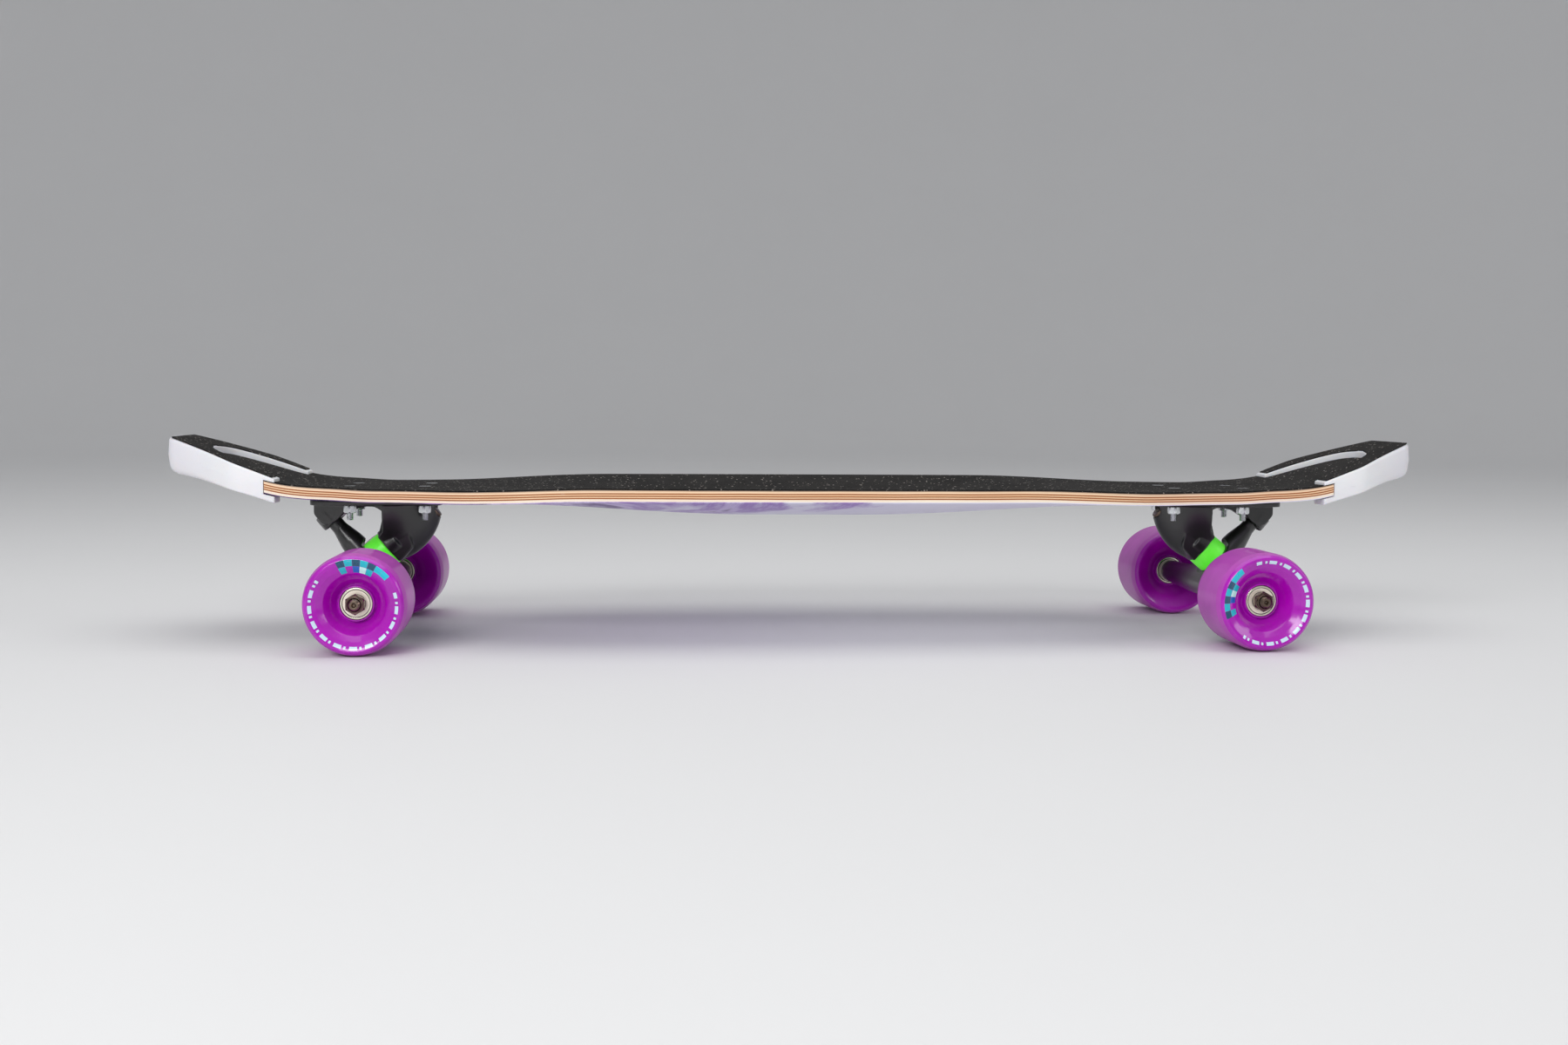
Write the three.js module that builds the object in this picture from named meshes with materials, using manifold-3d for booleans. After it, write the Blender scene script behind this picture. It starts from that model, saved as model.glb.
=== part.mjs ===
// A top-mount longboard: concave deck with wheel cut-aways, moulded bumpers on both kicks,
// two reverse-kingpin trucks and four wheels.
// Millimetres, +Z up. The origin is on the floor under the middle of the board.
// +X points to the nose, +Y to the board's left.

import * as THREE from 'three';
import { mergeVertices } from 'three/addons/utils/BufferGeometryUtils.js';
import Module from 'manifold-3d';

// ---- driving dimensions ----

const GAP = 0.3; // left between neighbouring pieces

const DECK_THICKNESS = 8.5;
const GRIP_THICKNESS = 0.8;
const FLAT_TOP_Z = 108.5; // top of the deck over the trucks
const SPINE_DIP = 10.7; // how far the middle of the board hangs below that
const RAIL_LIFT = 3.4; // how far the rails amidships stand above it
const CONCAVE_POWER = 2.4;
const KICK_SLOPE = 0.335;
const KICK_START = 345;
const KICK_BLEND = 40; // length over which the kick bends up
const KICK_RAIL_LIFT = 1.9;

const NOTCH_X = 385; // where the deck's edge goes into the bumper
const DECK_END_X = 454.5;
const BUMPER_START_X = 378;
const BUMPER_END_X = 463.2;
const BUMPER_WALL = 4.6;
const RECESS_END_X = 434; // apex of the opening between the bumper's arms
const BUMPER_GRIP_THICKNESS = 0.6;

const AXLE_X = 314.7;
const WHEEL_RADIUS = 35;
const WHEEL_INNER_Y = 75.6;
const WHEEL_OUTER_Y = 130.4;
const HANGER_END_Y = 88;
const AXLE_END_Y = 127;
const AXLE_RADIUS = 4;
const BEARING = { radius: 11, width: 7 };
const SPACER = { radius: 5.2, length: 10 };
const SPEED_WASHER = { radius: 6.4, thickness: 1 };
const AXLE_NUT = { acrossFlats: 12.7, thickness: 6.5 };

const BOLT_X = [280.6, 334.5];
const BOLT_Y = [-20.6, 20.6];
const PLATE = { from: 268, to: 363, halfWidth: 29, thickness: 4.1, corner: 9 };

const RAKE = THREE.MathUtils.degToRad(40); // kingpin's angle below the horizontal
const SEAT = new THREE.Vector3(309.3, 0, 63); // middle of the board-side bushing's seat
const KINGPIN = { radius: 4.8, tip: 48.5, headRadius: 6.5, head: -45, shoulder: -39 }; // from SEAT
const COLLAR_RADIUS = 14.2;
const KINGPIN_NUT = { acrossFlats: 14.3, thickness: 8 };
const ROAD_WASHER = { radius: 9.3, thickness: 1.6 };
const BOARD_BUSHING = { radius: 13.3, height: 13 };
const ROAD_BUSHING = { radius: 10.8, tip: 9.4, height: 11 };
const RING = { radius: 15, bore: 8, thickness: 9.8 };
const HOUSING = { middle: 291, halfLength: 22.2, halfWidth: 15.5 };
const BOSS_RADIUS = 9.8;
const PIVOT = { radius: 5.7, from: 40, to: 46.5, wall: 2.2 }; // the stem's tip and its cup

const ROUND = 30; // facets round a wheel, with one facing straight down
const SMALL_ROUND = 10;
const TABLE_COLUMNS = 11; // along half the deck, up to the kick
const KICK_COLUMNS = 4; // through the kick's bend, up to the bumper
const ROWS = 6; // across the deck

// ---- directions and points worked out from them ----

const kingpinAxis = new THREE.Vector3(Math.cos(RAKE), 0, -Math.sin(RAKE));
const steeringAxis = new THREE.Vector3(Math.sin(RAKE), 0, Math.cos(RAKE));
const ringStart = BOARD_BUSHING.height + 2 * GAP;
const ringEnd = ringStart + RING.thickness;
const ringCentre = SEAT.clone().addScaledVector(kingpinAxis, (ringStart + ringEnd) / 2);
const plateTop = FLAT_TOP_Z - DECK_THICKNESS - GAP;
const plateBottom = plateTop - PLATE.thickness;

// ---- materials ----

function finish(color, roughness, metalness) {
  return new THREE.MeshStandardMaterial({ color, roughness, metalness });
}

const maple = finish(0xd9a878, 0.5, 0);
const gripPaper = finish(0x161616, 0.95, 0);
const whiteUrethane = finish(0xeeeef2, 0.4, 0);
const purpleUrethane = finish(0x8a189c, 0.3, 0);
const greenUrethane = finish(0x5ce33a, 0.4, 0);
const blackAluminium = finish(0x141416, 0.35, 0.6);
const blackPlastic = finish(0x202020, 0.6, 0);
const steel = finish(0xb9b2a8, 0.3, 1);
const darkSteel = finish(0x5a4a3e, 0.35, 1);
const zinc = finish(0xd6dade, 0.25, 1);

// ---- solid helpers ----

const wasm = await Module();
wasm.setup();

// A closed geometry, moved by a matrix, as a solid for cutting and joining.
function solid(geometry, matrix = new THREE.Matrix4()) {
  const bare = new THREE.BufferGeometry();
  bare.setAttribute('position', geometry.getAttribute('position').clone());
  bare.setIndex(geometry.index);
  bare.applyMatrix4(matrix);
  const merged = mergeVertices(bare, 1e-3);
  return new wasm.Manifold(new wasm.Mesh({
    numProp: 3,
    vertProperties: merged.attributes.position.array,
    triVerts: new Uint32Array(merged.index.array),
  }));
}

function geometryOf(body) {
  const mesh = body.getMesh();
  const geometry = new THREE.BufferGeometry();
  geometry.setAttribute('position', new THREE.BufferAttribute(mesh.vertProperties, 3));
  geometry.setIndex(new THREE.BufferAttribute(mesh.triVerts, 1));
  return geometry;
}

function joined(bodies) {
  return bodies.reduce((whole, body) => whole.add(body));
}

function cut(body, tools) {
  return tools.reduce((rest, tool) => rest.subtract(tool), body);
}

// A matrix that takes a body turned about +Y onto a line through a point.
function onLine(point, direction) {
  const turn = new THREE.Quaternion().setFromUnitVectors(new THREE.Vector3(0, 1, 0), direction);
  return new THREE.Matrix4().compose(point, turn, new THREE.Vector3(1, 1, 1));
}

const onKingpin = onLine(SEAT, kingpinAxis);
const onSteering = onLine(ringCentre, steeringAxis);
const onAxle = new THREE.Matrix4().makeTranslation(AXLE_X, 0, WHEEL_RADIUS);

// A body turned about +Y from [radius, height] pairs that run upwards on the outside.
// A profile that doesn't start on the axis is a ring, and closes on itself.
function turned(profile, facets = SMALL_ROUND) {
  const points = profile.map(([radius, height]) => new THREE.Vector2(radius, height));
  if (profile[0][0] > 0) {
    points.push(points[0].clone());
  }
  return new THREE.LatheGeometry(points, facets);
}

function rod(radius, from, to, facets) {
  return turned([[0, from], [radius, from], [radius, to], [0, to]], facets);
}

function ring(inner, outer, from, to, facets) {
  return turned([[inner, from], [outer, from], [outer, to], [inner, to]], facets);
}

// A hexagonal nut round +Y, with its bore.
function hexNut(acrossFlats, bore, from, to) {
  const outline = new THREE.Shape();
  for (let i = 0; i < 6; i++) {
    const angle = (i + 0.5) * Math.PI / 3;
    const reach = acrossFlats / 2 / Math.cos(Math.PI / 6);
    const corner = [reach * Math.cos(angle), reach * Math.sin(angle)];
    if (i === 0) {
      outline.moveTo(...corner);
    } else {
      outline.lineTo(...corner);
    }
  }
  outline.holes.push(new THREE.Path().absarc(0, 0, bore, 0, 2 * Math.PI, true));
  const settings = { depth: to - from, bevelEnabled: false, curveSegments: SMALL_ROUND / 2 };
  return new THREE.ExtrudeGeometry(outline, settings).rotateX(-Math.PI / 2).translate(0, from, 0);
}

// A prism across the board from [x, z] corners, listed anticlockwise as seen from -Y.
function acrossBoard(corners, halfWidth) {
  const outline = new THREE.Shape(corners.map(([x, z]) => new THREE.Vector2(x, z)));
  const settings = { depth: 2 * halfWidth, bevelEnabled: false };
  return new THREE.ExtrudeGeometry(outline, settings).rotateX(Math.PI / 2).translate(0, halfWidth, 0);
}

// A closed body between two height surfaces. Columns run along X, rows across Y.
function slab(columns, halfWidth, low, high, rows = ROWS) {
  const position = [];
  for (const height of [low, high]) {
    for (const x of columns) {
      for (let row = 0; row <= rows; row++) {
        const y = halfWidth(x) * (2 * row / rows - 1);
        position.push(x, y, height(x, y));
      }
    }
  }
  const layer = columns.length * (rows + 1);
  const at = (column, row, level) => level * layer + column * (rows + 1) + row;
  const index = [];
  const quad = (a, b, c, d) => index.push(a, b, c, a, c, d);
  const last = columns.length - 1;
  for (let i = 0; i < last; i++) {
    for (let j = 0; j < rows; j++) {
      quad(at(i, j, 1), at(i + 1, j, 1), at(i + 1, j + 1, 1), at(i, j + 1, 1));
      quad(at(i, j, 0), at(i, j + 1, 0), at(i + 1, j + 1, 0), at(i + 1, j, 0));
    }
    quad(at(i, 0, 0), at(i + 1, 0, 0), at(i + 1, 0, 1), at(i, 0, 1));
    quad(at(i, rows, 0), at(i, rows, 1), at(i + 1, rows, 1), at(i + 1, rows, 0));
  }
  for (let j = 0; j < rows; j++) {
    quad(at(0, j, 0), at(0, j, 1), at(0, j + 1, 1), at(0, j + 1, 0));
    quad(at(last, j, 0), at(last, j + 1, 0), at(last, j + 1, 1), at(last, j, 1));
  }
  const geometry = new THREE.BufferGeometry();
  geometry.setAttribute('position', new THREE.Float32BufferAttribute(position, 3));
  geometry.setIndex(index);
  return geometry;
}

// ---- the board's surfaces and outlines ----

function smoothStep(from, to, x) {
  return THREE.MathUtils.smoothstep(x, from, to);
}

// A smooth curve through [x, value] points, read at any x.
function curveThrough(points) {
  const slope = points.map((point, i) => {
    const before = points[Math.max(i - 1, 0)];
    const after = points[Math.min(i + 1, points.length - 1)];
    return (after[1] - before[1]) / (after[0] - before[0]);
  });
  return (x) => {
    let i = 0;
    while (i < points.length - 2 && x > points[i + 1][0]) {
      i++;
    }
    const [x0, v0] = points[i];
    const [x1, v1] = points[i + 1];
    const t = THREE.MathUtils.clamp((x - x0) / (x1 - x0), 0, 1);
    const m0 = slope[i] * (x1 - x0);
    const m1 = slope[i + 1] * (x1 - x0);
    const rise = v1 - v0;
    return v0 + t * (m0 + t * (3 * rise - 2 * m0 - m1 + t * (m0 + m1 - 2 * rise)));
  };
}

// Height of the deck's top along its middle line.
function spine(x) {
  const reach = Math.abs(x);
  const bend = THREE.MathUtils.clamp(reach - KICK_START, 0, KICK_BLEND);
  const beyond = Math.max(reach - KICK_START - KICK_BLEND, 0);
  const kick = KICK_SLOPE * (bend * bend / (2 * KICK_BLEND) + beyond);
  return FLAT_TOP_Z - SPINE_DIP * (1 - smoothStep(40, 268, reach)) + kick;
}

// How far the rail stands above the middle line.
function railRise(x) {
  const reach = Math.abs(x);
  const amidships = RAIL_LIFT * (1 - smoothStep(150, 270, reach));
  const dip = SPINE_DIP * (1 - smoothStep(40, 268, reach));
  const along = THREE.MathUtils.clamp((reach - 310) / 85, 0, 1);
  return amidships + dip + KICK_RAIL_LIFT * Math.sin(Math.PI * along) ** 2;
}

// Half-width of the board: widest amidships, cut away beside the wheels.
const boardOutline = curveThrough([
  [-60, 111.5], [60, 111.5], [120, 110], [170, 106.5], [205, 102], [240, 90], [270, 76],
  [300, 68], [330, 66], [360, 68], [388, 69.5],
]);

// Half-width outside the bumper's wall: near-parallel arms, then a chamfer to a blunt tip.
const bumperOutline = curveThrough([
  [374, 69.4], [390, 70], [402, 69], [411, 65.8], [430, 53.4], [450, 40], [457.5, 34], [461.2, 26],
  [BUMPER_END_X, 10],
]);

function deckHalfWidth(x) {
  const reach = Math.abs(x);
  return reach <= NOTCH_X ? boardOutline(reach) : bumperOutline(reach + 2) - BUMPER_WALL;
}

// Half-width of the opening between the bumper's arms.
const recessOutline = curveThrough([
  [366, 54], [378, 50.5], [395, 45], [408, 39], [418, 33], [426, 26], [431, 17], [RECESS_END_X, 5],
]);

function deckTop(x, y) {
  const across = Math.min(Math.abs(y) / boardOutline(Math.min(Math.abs(x), NOTCH_X)), 1);
  return spine(x) + railRise(x) * across ** CONCAVE_POWER;
}

function deckBottom(x, y) {
  return deckTop(x, y) - DECK_THICKNESS;
}

// Height of the tape on the bumper's upper arm, and of the bumper's underside.
function bumperTop(x) {
  const along = Math.abs(x) - 380;
  return 118.4 + along * (0.4 - 0.0007 * along);
}

function bumperBottom(x) {
  const along = Math.abs(x) - 381;
  return 100.8 + along * (0.345 - 0.0014 * along);
}

// The same columns on both sides of the middle.
function bothWays(columns) {
  const back = columns.filter((x) => x > 0).map((x) => -x).reverse();
  return [...back, ...columns];
}

function evenColumns(from, to, count) {
  return Array.from({ length: count + 1 }, (_, i) => from + (to - from) * i / count);
}

// Columns that the deck and the tape on it share, from the middle to the bumper's arms.
const bumperEdge = BUMPER_START_X - GAP;
const tableColumns = [
  ...evenColumns(0, KICK_START, TABLE_COLUMNS),
  ...evenColumns(KICK_START, bumperEdge, KICK_COLUMNS).slice(1),
];

// ---- pieces ----

const board = new THREE.Group();

function add(group, name, geometry, material, matrix) {
  const mesh = new THREE.Mesh(geometry, material);
  mesh.name = name;
  if (matrix) {
    mesh.applyMatrix4(matrix);
  }
  group.add(mesh);
  return mesh;
}

// A mounting bolt with its nut, upright: countersunk head, shank, hexagonal nut.
// `clear` widens it all round, to cut the hole that it goes in.
const BOLT = { head: 4.6, sink: 2.6, shank: 2.4, tail: 84.6, nutHeight: 5.4, nutRadius: 4.9 };
const boltTop = FLAT_TOP_Z + GAP + GRIP_THICKNESS;

function boltShank(clear) {
  return turned([
    [0, BOLT.tail - clear], [BOLT.shank + clear, BOLT.tail - clear],
    [BOLT.shank + clear, boltTop - BOLT.sink - clear], [BOLT.head + clear, boltTop - 0.4 - clear],
    [BOLT.head + clear, boltTop + (clear > 0 ? 2 : 0)], [0, boltTop + (clear > 0 ? 2 : 0)],
  ], 8).rotateX(Math.PI / 2);
}

function boltAt(x, y, geometry) {
  return solid(geometry, new THREE.Matrix4().makeTranslation(x, y, 0));
}

const boltPlaces = [-1, 1].flatMap((end) =>
  BOLT_X.flatMap((x) => BOLT_Y.map((y) => [end * x, y])));
const boltHoles = boltPlaces.map(([x, y]) => boltAt(x, y, boltShank(GAP)));

function makeBolts() {
  const nutTop = plateBottom - GAP;
  const nut = new THREE.CylinderGeometry(BOLT.nutRadius, BOLT.nutRadius, BOLT.nutHeight, 6)
    .rotateX(Math.PI / 2)
    .translate(0, 0, nutTop - BOLT.nutHeight / 2);
  boltPlaces.forEach(([x, y]) => {
    const end = x > 0 ? 'nose' : 'tail';
    const row = Math.abs(x) === BOLT_X[0] ? 'inner' : 'outer';
    const side = y > 0 ? 'left' : 'right';
    const bolt = boltAt(x, y, boltShank(0)).add(boltAt(x, y, nut));
    add(board, `${end}_${row}_${side}_bolt`, geometryOf(bolt), zinc);
  });
}

function makeDeck() {
  const inBumper = [NOTCH_X, NOTCH_X + 0.2, 398, 409, 430, 446, DECK_END_X];
  const columns = bothWays([...tableColumns, ...inBumper]);
  const planks = solid(slab(columns, deckHalfWidth, deckBottom, deckTop));
  add(board, 'deck', geometryOf(cut(planks, boltHoles)), maple);
}

function makeGripTape() {
  const halfWidth = (x) => {
    const reach = Math.abs(x);
    return reach <= bumperEdge ? boardOutline(reach) - GAP : recessOutline(reach) - 2 * GAP;
  };
  const inRecess = [bumperEdge + 0.1, NOTCH_X, 394, 404, 412, 420, 427, 431, RECESS_END_X - 1];
  const columns = bothWays([...tableColumns, ...inRecess]);
  const low = (x, y) => deckTop(x, y) + GAP;
  const high = (x, y) => low(x, y) + GRIP_THICKNESS;
  const sheet = solid(slab(columns, halfWidth, low, high));
  add(board, 'grip_tape', geometryOf(cut(sheet, boltHoles)), gripPaper);
}

// The opening between the arms, as an upright prism widened by `clear`.
function recess(clear) {
  const columns = [360, 372, 384, 396, 406, 415, 422, 427, 431, RECESS_END_X + clear];
  return solid(slab(columns, (x) => recessOutline(x) + clear, () => 90, () => 160, 1));
}

function makeBumpers() {
  const columns = [BUMPER_START_X, 386, 395, 403, 410, 420, 430, 440, 450, 456, 459.6, 462, BUMPER_END_X];
  const skin = (x) => bumperTop(x) - BUMPER_GRIP_THICKNESS - GAP;
  const body = solid(slab(columns, bumperOutline, bumperBottom, skin, 2));
  const channelColumns = [370, NOTCH_X + 0.3, NOTCH_X + 0.5, 398, 409, 430, 446, DECK_END_X + 2 * GAP];
  const channel = solid(slab(
    channelColumns,
    (x) => (x <= NOTCH_X + 0.3 ? 90 : deckHalfWidth(x) + 2 * GAP),
    (x, y) => deckBottom(x, y) - 2 * GAP,
    (x, y) => deckTop(x, y) + 2 * GAP,
    4,
  ));
  const bumper = geometryOf(cut(body, [channel, recess(0)]));
  const tapeColumns = [BUMPER_START_X + 2, 390, 400, 409, 420, 432, 444, 452, 458.5];
  const tapeHalfWidth = (x) => bumperOutline(x) - 1.6;
  const tape = solid(slab(tapeColumns, tapeHalfWidth, (x) => skin(x) + GAP, bumperTop, 2));
  const bumperGrip = geometryOf(cut(tape, [recess(1.2)]));
  const aft = new THREE.Matrix4().makeRotationZ(Math.PI);
  add(board, 'nose_bumper', bumper, whiteUrethane);
  add(board, 'tail_bumper', bumper, whiteUrethane, aft);
  add(board, 'nose_bumper_grip', bumperGrip, gripPaper);
  add(board, 'tail_bumper_grip', bumperGrip, gripPaper, aft);
}

// The outside of the cup that the hanger's stem turns in.
const cupRadius = PIVOT.radius + GAP + PIVOT.wall;
const cupTop = PIVOT.to + PIVOT.wall;

// An arched rib from the housing to the pivot boss, on the middle line.
function gusset() {
  return solid(acrossBoard([
    [305, 98], [305, 84], [312, 84], [314.5, 89.5], [319, 92.6], [326, 93.2], [333, 91.6], [340, 87],
    [344, 98],
  ], 3));
}

// The truck's fixed half: plate, rounded housing with its slanted seat, rib and pivot boss.
function baseplateSolid() {
  const { from, to, halfWidth, thickness, corner } = PLATE;
  const outline = new THREE.Shape();
  outline.absarc(to - corner, halfWidth - corner, corner, 0, Math.PI / 2);
  outline.absarc(from + corner, halfWidth - corner, corner, Math.PI / 2, Math.PI);
  outline.absarc(from + corner, corner - halfWidth, corner, Math.PI, 1.5 * Math.PI);
  outline.absarc(to - corner, corner - halfWidth, corner, 1.5 * Math.PI, 2 * Math.PI);
  const plate = new THREE.ExtrudeGeometry(outline, {
    depth: thickness, bevelEnabled: false, curveSegments: 4,
  }).translate(0, 0, plateBottom);

  const side = acrossBoard([
    [269, 98], [271.5, 87], [276, 77.5], [284, 66.3], [292.5, 57.6], [300.2, 52.2], [316.2, 71.3],
    [313, 76], [313, 98],
  ], HOUSING.halfWidth);
  const column = new THREE.CylinderGeometry(1, 1, 60, 24)
    .rotateX(Math.PI / 2)
    .scale(HOUSING.halfLength, HOUSING.halfWidth, 1)
    .translate(HOUSING.middle, 0, 70);
  const housing = solid(side).intersect(solid(column));
  const collar = rod(COLLAR_RADIUS, -9, 0, 20);
  const boss = rod(BOSS_RADIUS, PIVOT.from - 1, PIVOT.to + 3.5, 16);
  const bossFoot = acrossBoard([
    [335, 98], [341, 88], [347, 82], [357, 80], [362.8, 87.6], [362.8, 98],
  ], BOSS_RADIUS - 0.2);

  const body = joined([
    solid(plate), housing, solid(collar, onKingpin), solid(boss, onSteering), solid(bossFoot), gusset(),
  ]);
  const above = new THREE.BoxGeometry(200, 100, 40).translate(AXLE_X, 0, plateTop + 20);
  return cut(body, [
    solid(above),
    solid(rod(KINGPIN.radius + GAP, -60, 10, 16), onKingpin),
    solid(rod(KINGPIN.headRadius + GAP, -70, KINGPIN.shoulder + GAP, 16), onKingpin),
    solid(rod(cupRadius + GAP, PIVOT.from - 5, cupTop + GAP, 16), onSteering),
    ...boltHoles,
  ]);
}

// The truck's swinging half: axle tube, ring round the kingpin, web between them, pivot stem.
function hangerSolid() {
  const tube = turned([
    [0, -HANGER_END_Y], [8.8, -HANGER_END_Y], [10.6, -30], [10.6, 30], [8.8, HANGER_END_Y],
    [0, HANGER_END_Y],
  ], 16);
  const ringBody = rod(RING.radius, ringStart - 1, ringEnd, 20);
  const web = new THREE.Shape([
    [-13, 6], [-40, -12], [-40, -22], [40, -22], [40, -12], [13, 6],
  ].map(([y, along]) => new THREE.Vector2(y, along)));
  const webDepth = RING.thickness - 1.6;
  const webPlace = new THREE.Matrix4().makeBasis(
    new THREE.Vector3(0, 1, 0), steeringAxis, kingpinAxis,
  );
  webPlace.setPosition(ringCentre.clone().addScaledVector(kingpinAxis, -webDepth / 2));
  const webBody = new THREE.ExtrudeGeometry(web, { depth: webDepth, bevelEnabled: false });
  const stem = turned([
    [0, 2], [11, 2], [8.5, 22], [PIVOT.radius, PIVOT.from - 6], [PIVOT.radius, PIVOT.to - 2],
    [PIVOT.radius - 2, PIVOT.to], [0, PIVOT.to],
  ]);
  const body = joined([
    solid(tube, onAxle), solid(ringBody, onKingpin), solid(webBody, webPlace), solid(stem, onSteering),
  ]);
  return cut(body, [
    solid(rod(RING.radius + 1.2, -10, ringStart), onKingpin),
    solid(rod(ROAD_BUSHING.radius + GAP, ringEnd - 0.4, 60, 16), onKingpin),
    solid(rod(RING.bore, 0, 40), onKingpin),
    solid(rod(AXLE_RADIUS + GAP, -AXLE_END_Y, AXLE_END_Y), onAxle),
  ]);
}

function bushing(wide, narrow, from, height) {
  const bore = KINGPIN.radius + GAP;
  return turned([
    [bore, from], [wide - 0.6, from], [wide, from + 1], [narrow, from + height - 1],
    [narrow - 0.6, from + height], [bore, from + height],
  ], 16);
}

// Where the pieces lie along the kingpin, from the seat outwards.
const roadBushingAt = ringEnd - 0.4 + GAP;
const washerAt = roadBushingAt + ROAD_BUSHING.height + GAP;
const washerEnd = washerAt + ROAD_WASHER.thickness;
const kingpinNutAt = washerEnd + GAP;
const kingpinNutEnd = kingpinNutAt + KINGPIN_NUT.thickness;

// Where the pieces lie along the axle, from the hanger outwards.
const innerWasherAt = HANGER_END_Y + GAP;
const innerBearingAt = innerWasherAt + SPEED_WASHER.thickness + GAP;
const spacerAt = innerBearingAt + BEARING.width + GAP;
const outerBearingAt = spacerAt + SPACER.length + GAP;
const outerWasherAt = outerBearingAt + BEARING.width + GAP;
const axleNutAt = outerWasherAt + SPEED_WASHER.thickness + GAP;

// A wheel: flat tread, rounded shoulders, a bowl outside, a dish inside and two bearing seats.
function wheelGeometry() {
  const tread = WHEEL_RADIUS / Math.cos(Math.PI / ROUND);
  const seat = BEARING.radius + GAP;
  const throat = 8.5;
  const inner = innerBearingAt - GAP;
  const outer = outerBearingAt + BEARING.width + GAP;
  return turned([
    [tread, 84], [tread, 122], [33.6, 128], [31.3, WHEEL_OUTER_Y], [28, 128.6], [20.5, 122.3],
    [13.8, outer + 0.5], [seat, outer], [seat, outerBearingAt - GAP],
    [throat, outerBearingAt - GAP], [throat, spacerAt], [seat, spacerAt], [seat, inner],
    [13.5, inner], [24, 84], [28, WHEEL_INNER_Y + 1.4], [31.3, WHEEL_INNER_Y], [33.6, 78],
  ], ROUND).rotateY(Math.PI / ROUND);
}

const axleBore = AXLE_RADIUS + GAP;

function bearing(from) {
  return ring(axleBore, BEARING.radius, from, from + BEARING.width, 14);
}

function speedWasher(from) {
  return ring(axleBore, SPEED_WASHER.radius, from, from + SPEED_WASHER.thickness);
}

// Everything on one end of an axle, for both ends of the truck.
const onAxleEnd = [
  ['wheel', wheelGeometry(), purpleUrethane],
  ['outer_bearing', bearing(outerBearingAt), steel],
  ['inner_bearing', bearing(innerBearingAt), steel],
  ['spacer', ring(axleBore, SPACER.radius, spacerAt, spacerAt + SPACER.length), steel],
  ['outer_washer', speedWasher(outerWasherAt), steel],
  ['inner_washer', speedWasher(innerWasherAt), steel],
  ['axle_nut', hexNut(AXLE_NUT.acrossFlats, axleBore, axleNutAt, axleNutAt + AXLE_NUT.thickness), darkSteel],
];

function truckPieces() {
  const bore = KINGPIN.radius + GAP;
  const kingpin = turned([
    [0, KINGPIN.head], [KINGPIN.headRadius, KINGPIN.head], [KINGPIN.headRadius, KINGPIN.shoulder],
    [KINGPIN.radius, KINGPIN.shoulder], [KINGPIN.radius, KINGPIN.tip], [0, KINGPIN.tip],
  ]);
  const cupBore = PIVOT.radius + GAP;
  const cup = turned([
    [0, PIVOT.to + GAP], [cupBore, PIVOT.to + GAP], [cupBore, PIVOT.from], [cupRadius, PIVOT.from],
    [cupRadius, cupTop], [0, cupTop],
  ], 16);
  return [
    ['baseplate', geometryOf(baseplateSolid()), blackAluminium, null],
    ['hanger', geometryOf(hangerSolid()), blackAluminium, null],
    ['axle', rod(AXLE_RADIUS, -AXLE_END_Y, AXLE_END_Y), steel, onAxle],
    ['kingpin', kingpin, darkSteel, onKingpin],
    ['kingpin_nut', hexNut(KINGPIN_NUT.acrossFlats, bore, kingpinNutAt, kingpinNutEnd), zinc, onKingpin],
    ['road_washer', ring(bore, ROAD_WASHER.radius, washerAt, washerEnd, 16), zinc, onKingpin],
    ['board_bushing', bushing(BOARD_BUSHING.radius, BOARD_BUSHING.radius, GAP, BOARD_BUSHING.height),
      greenUrethane, onKingpin],
    ['road_bushing', bushing(ROAD_BUSHING.radius, ROAD_BUSHING.tip, roadBushingAt, ROAD_BUSHING.height),
      greenUrethane, onKingpin],
    ['pivot_cup', cup, blackPlastic, onSteering],
  ];
}

// The tail's truck is the nose's, turned half round.
function makeTrucks() {
  const pieces = truckPieces();
  for (const end of ['nose', 'tail']) {
    const truck = new THREE.Group();
    truck.rotation.z = end === 'nose' ? 0 : Math.PI;
    pieces.forEach(([name, geometry, material, matrix]) =>
      add(truck, `${end}_${name}`, geometry, material, matrix));
    for (const side of ['left', 'right']) {
      const axleEnd = new THREE.Group();
      axleEnd.position.set(AXLE_X, 0, WHEEL_RADIUS);
      axleEnd.rotation.z = (end === 'nose') === (side === 'left') ? 0 : Math.PI;
      onAxleEnd.forEach(([name, geometry, material]) =>
        add(axleEnd, `${end}_${side}_${name}`, geometry, material));
      truck.add(axleEnd);
    }
    board.add(truck);
  }
}

makeDeck();
makeGripTape();
makeBumpers();
makeBolts();
makeTrucks();

export default board;
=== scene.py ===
# %% [markdown]
# # A longboard, built up from its frame
#
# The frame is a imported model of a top-mount longboard: every sub-part is already the right
# size and in the right place, but it is plain and faceted. This lesson keeps each place and
# each joint, and makes the surfaces: the curved deck, the moulded bumpers, the cast trucks,
# the turned wheels, and a worn, detailed finish for each of them.

# %% Load the frame
import math

import bmesh
import bpy
from mathutils import Matrix, Vector


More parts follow.
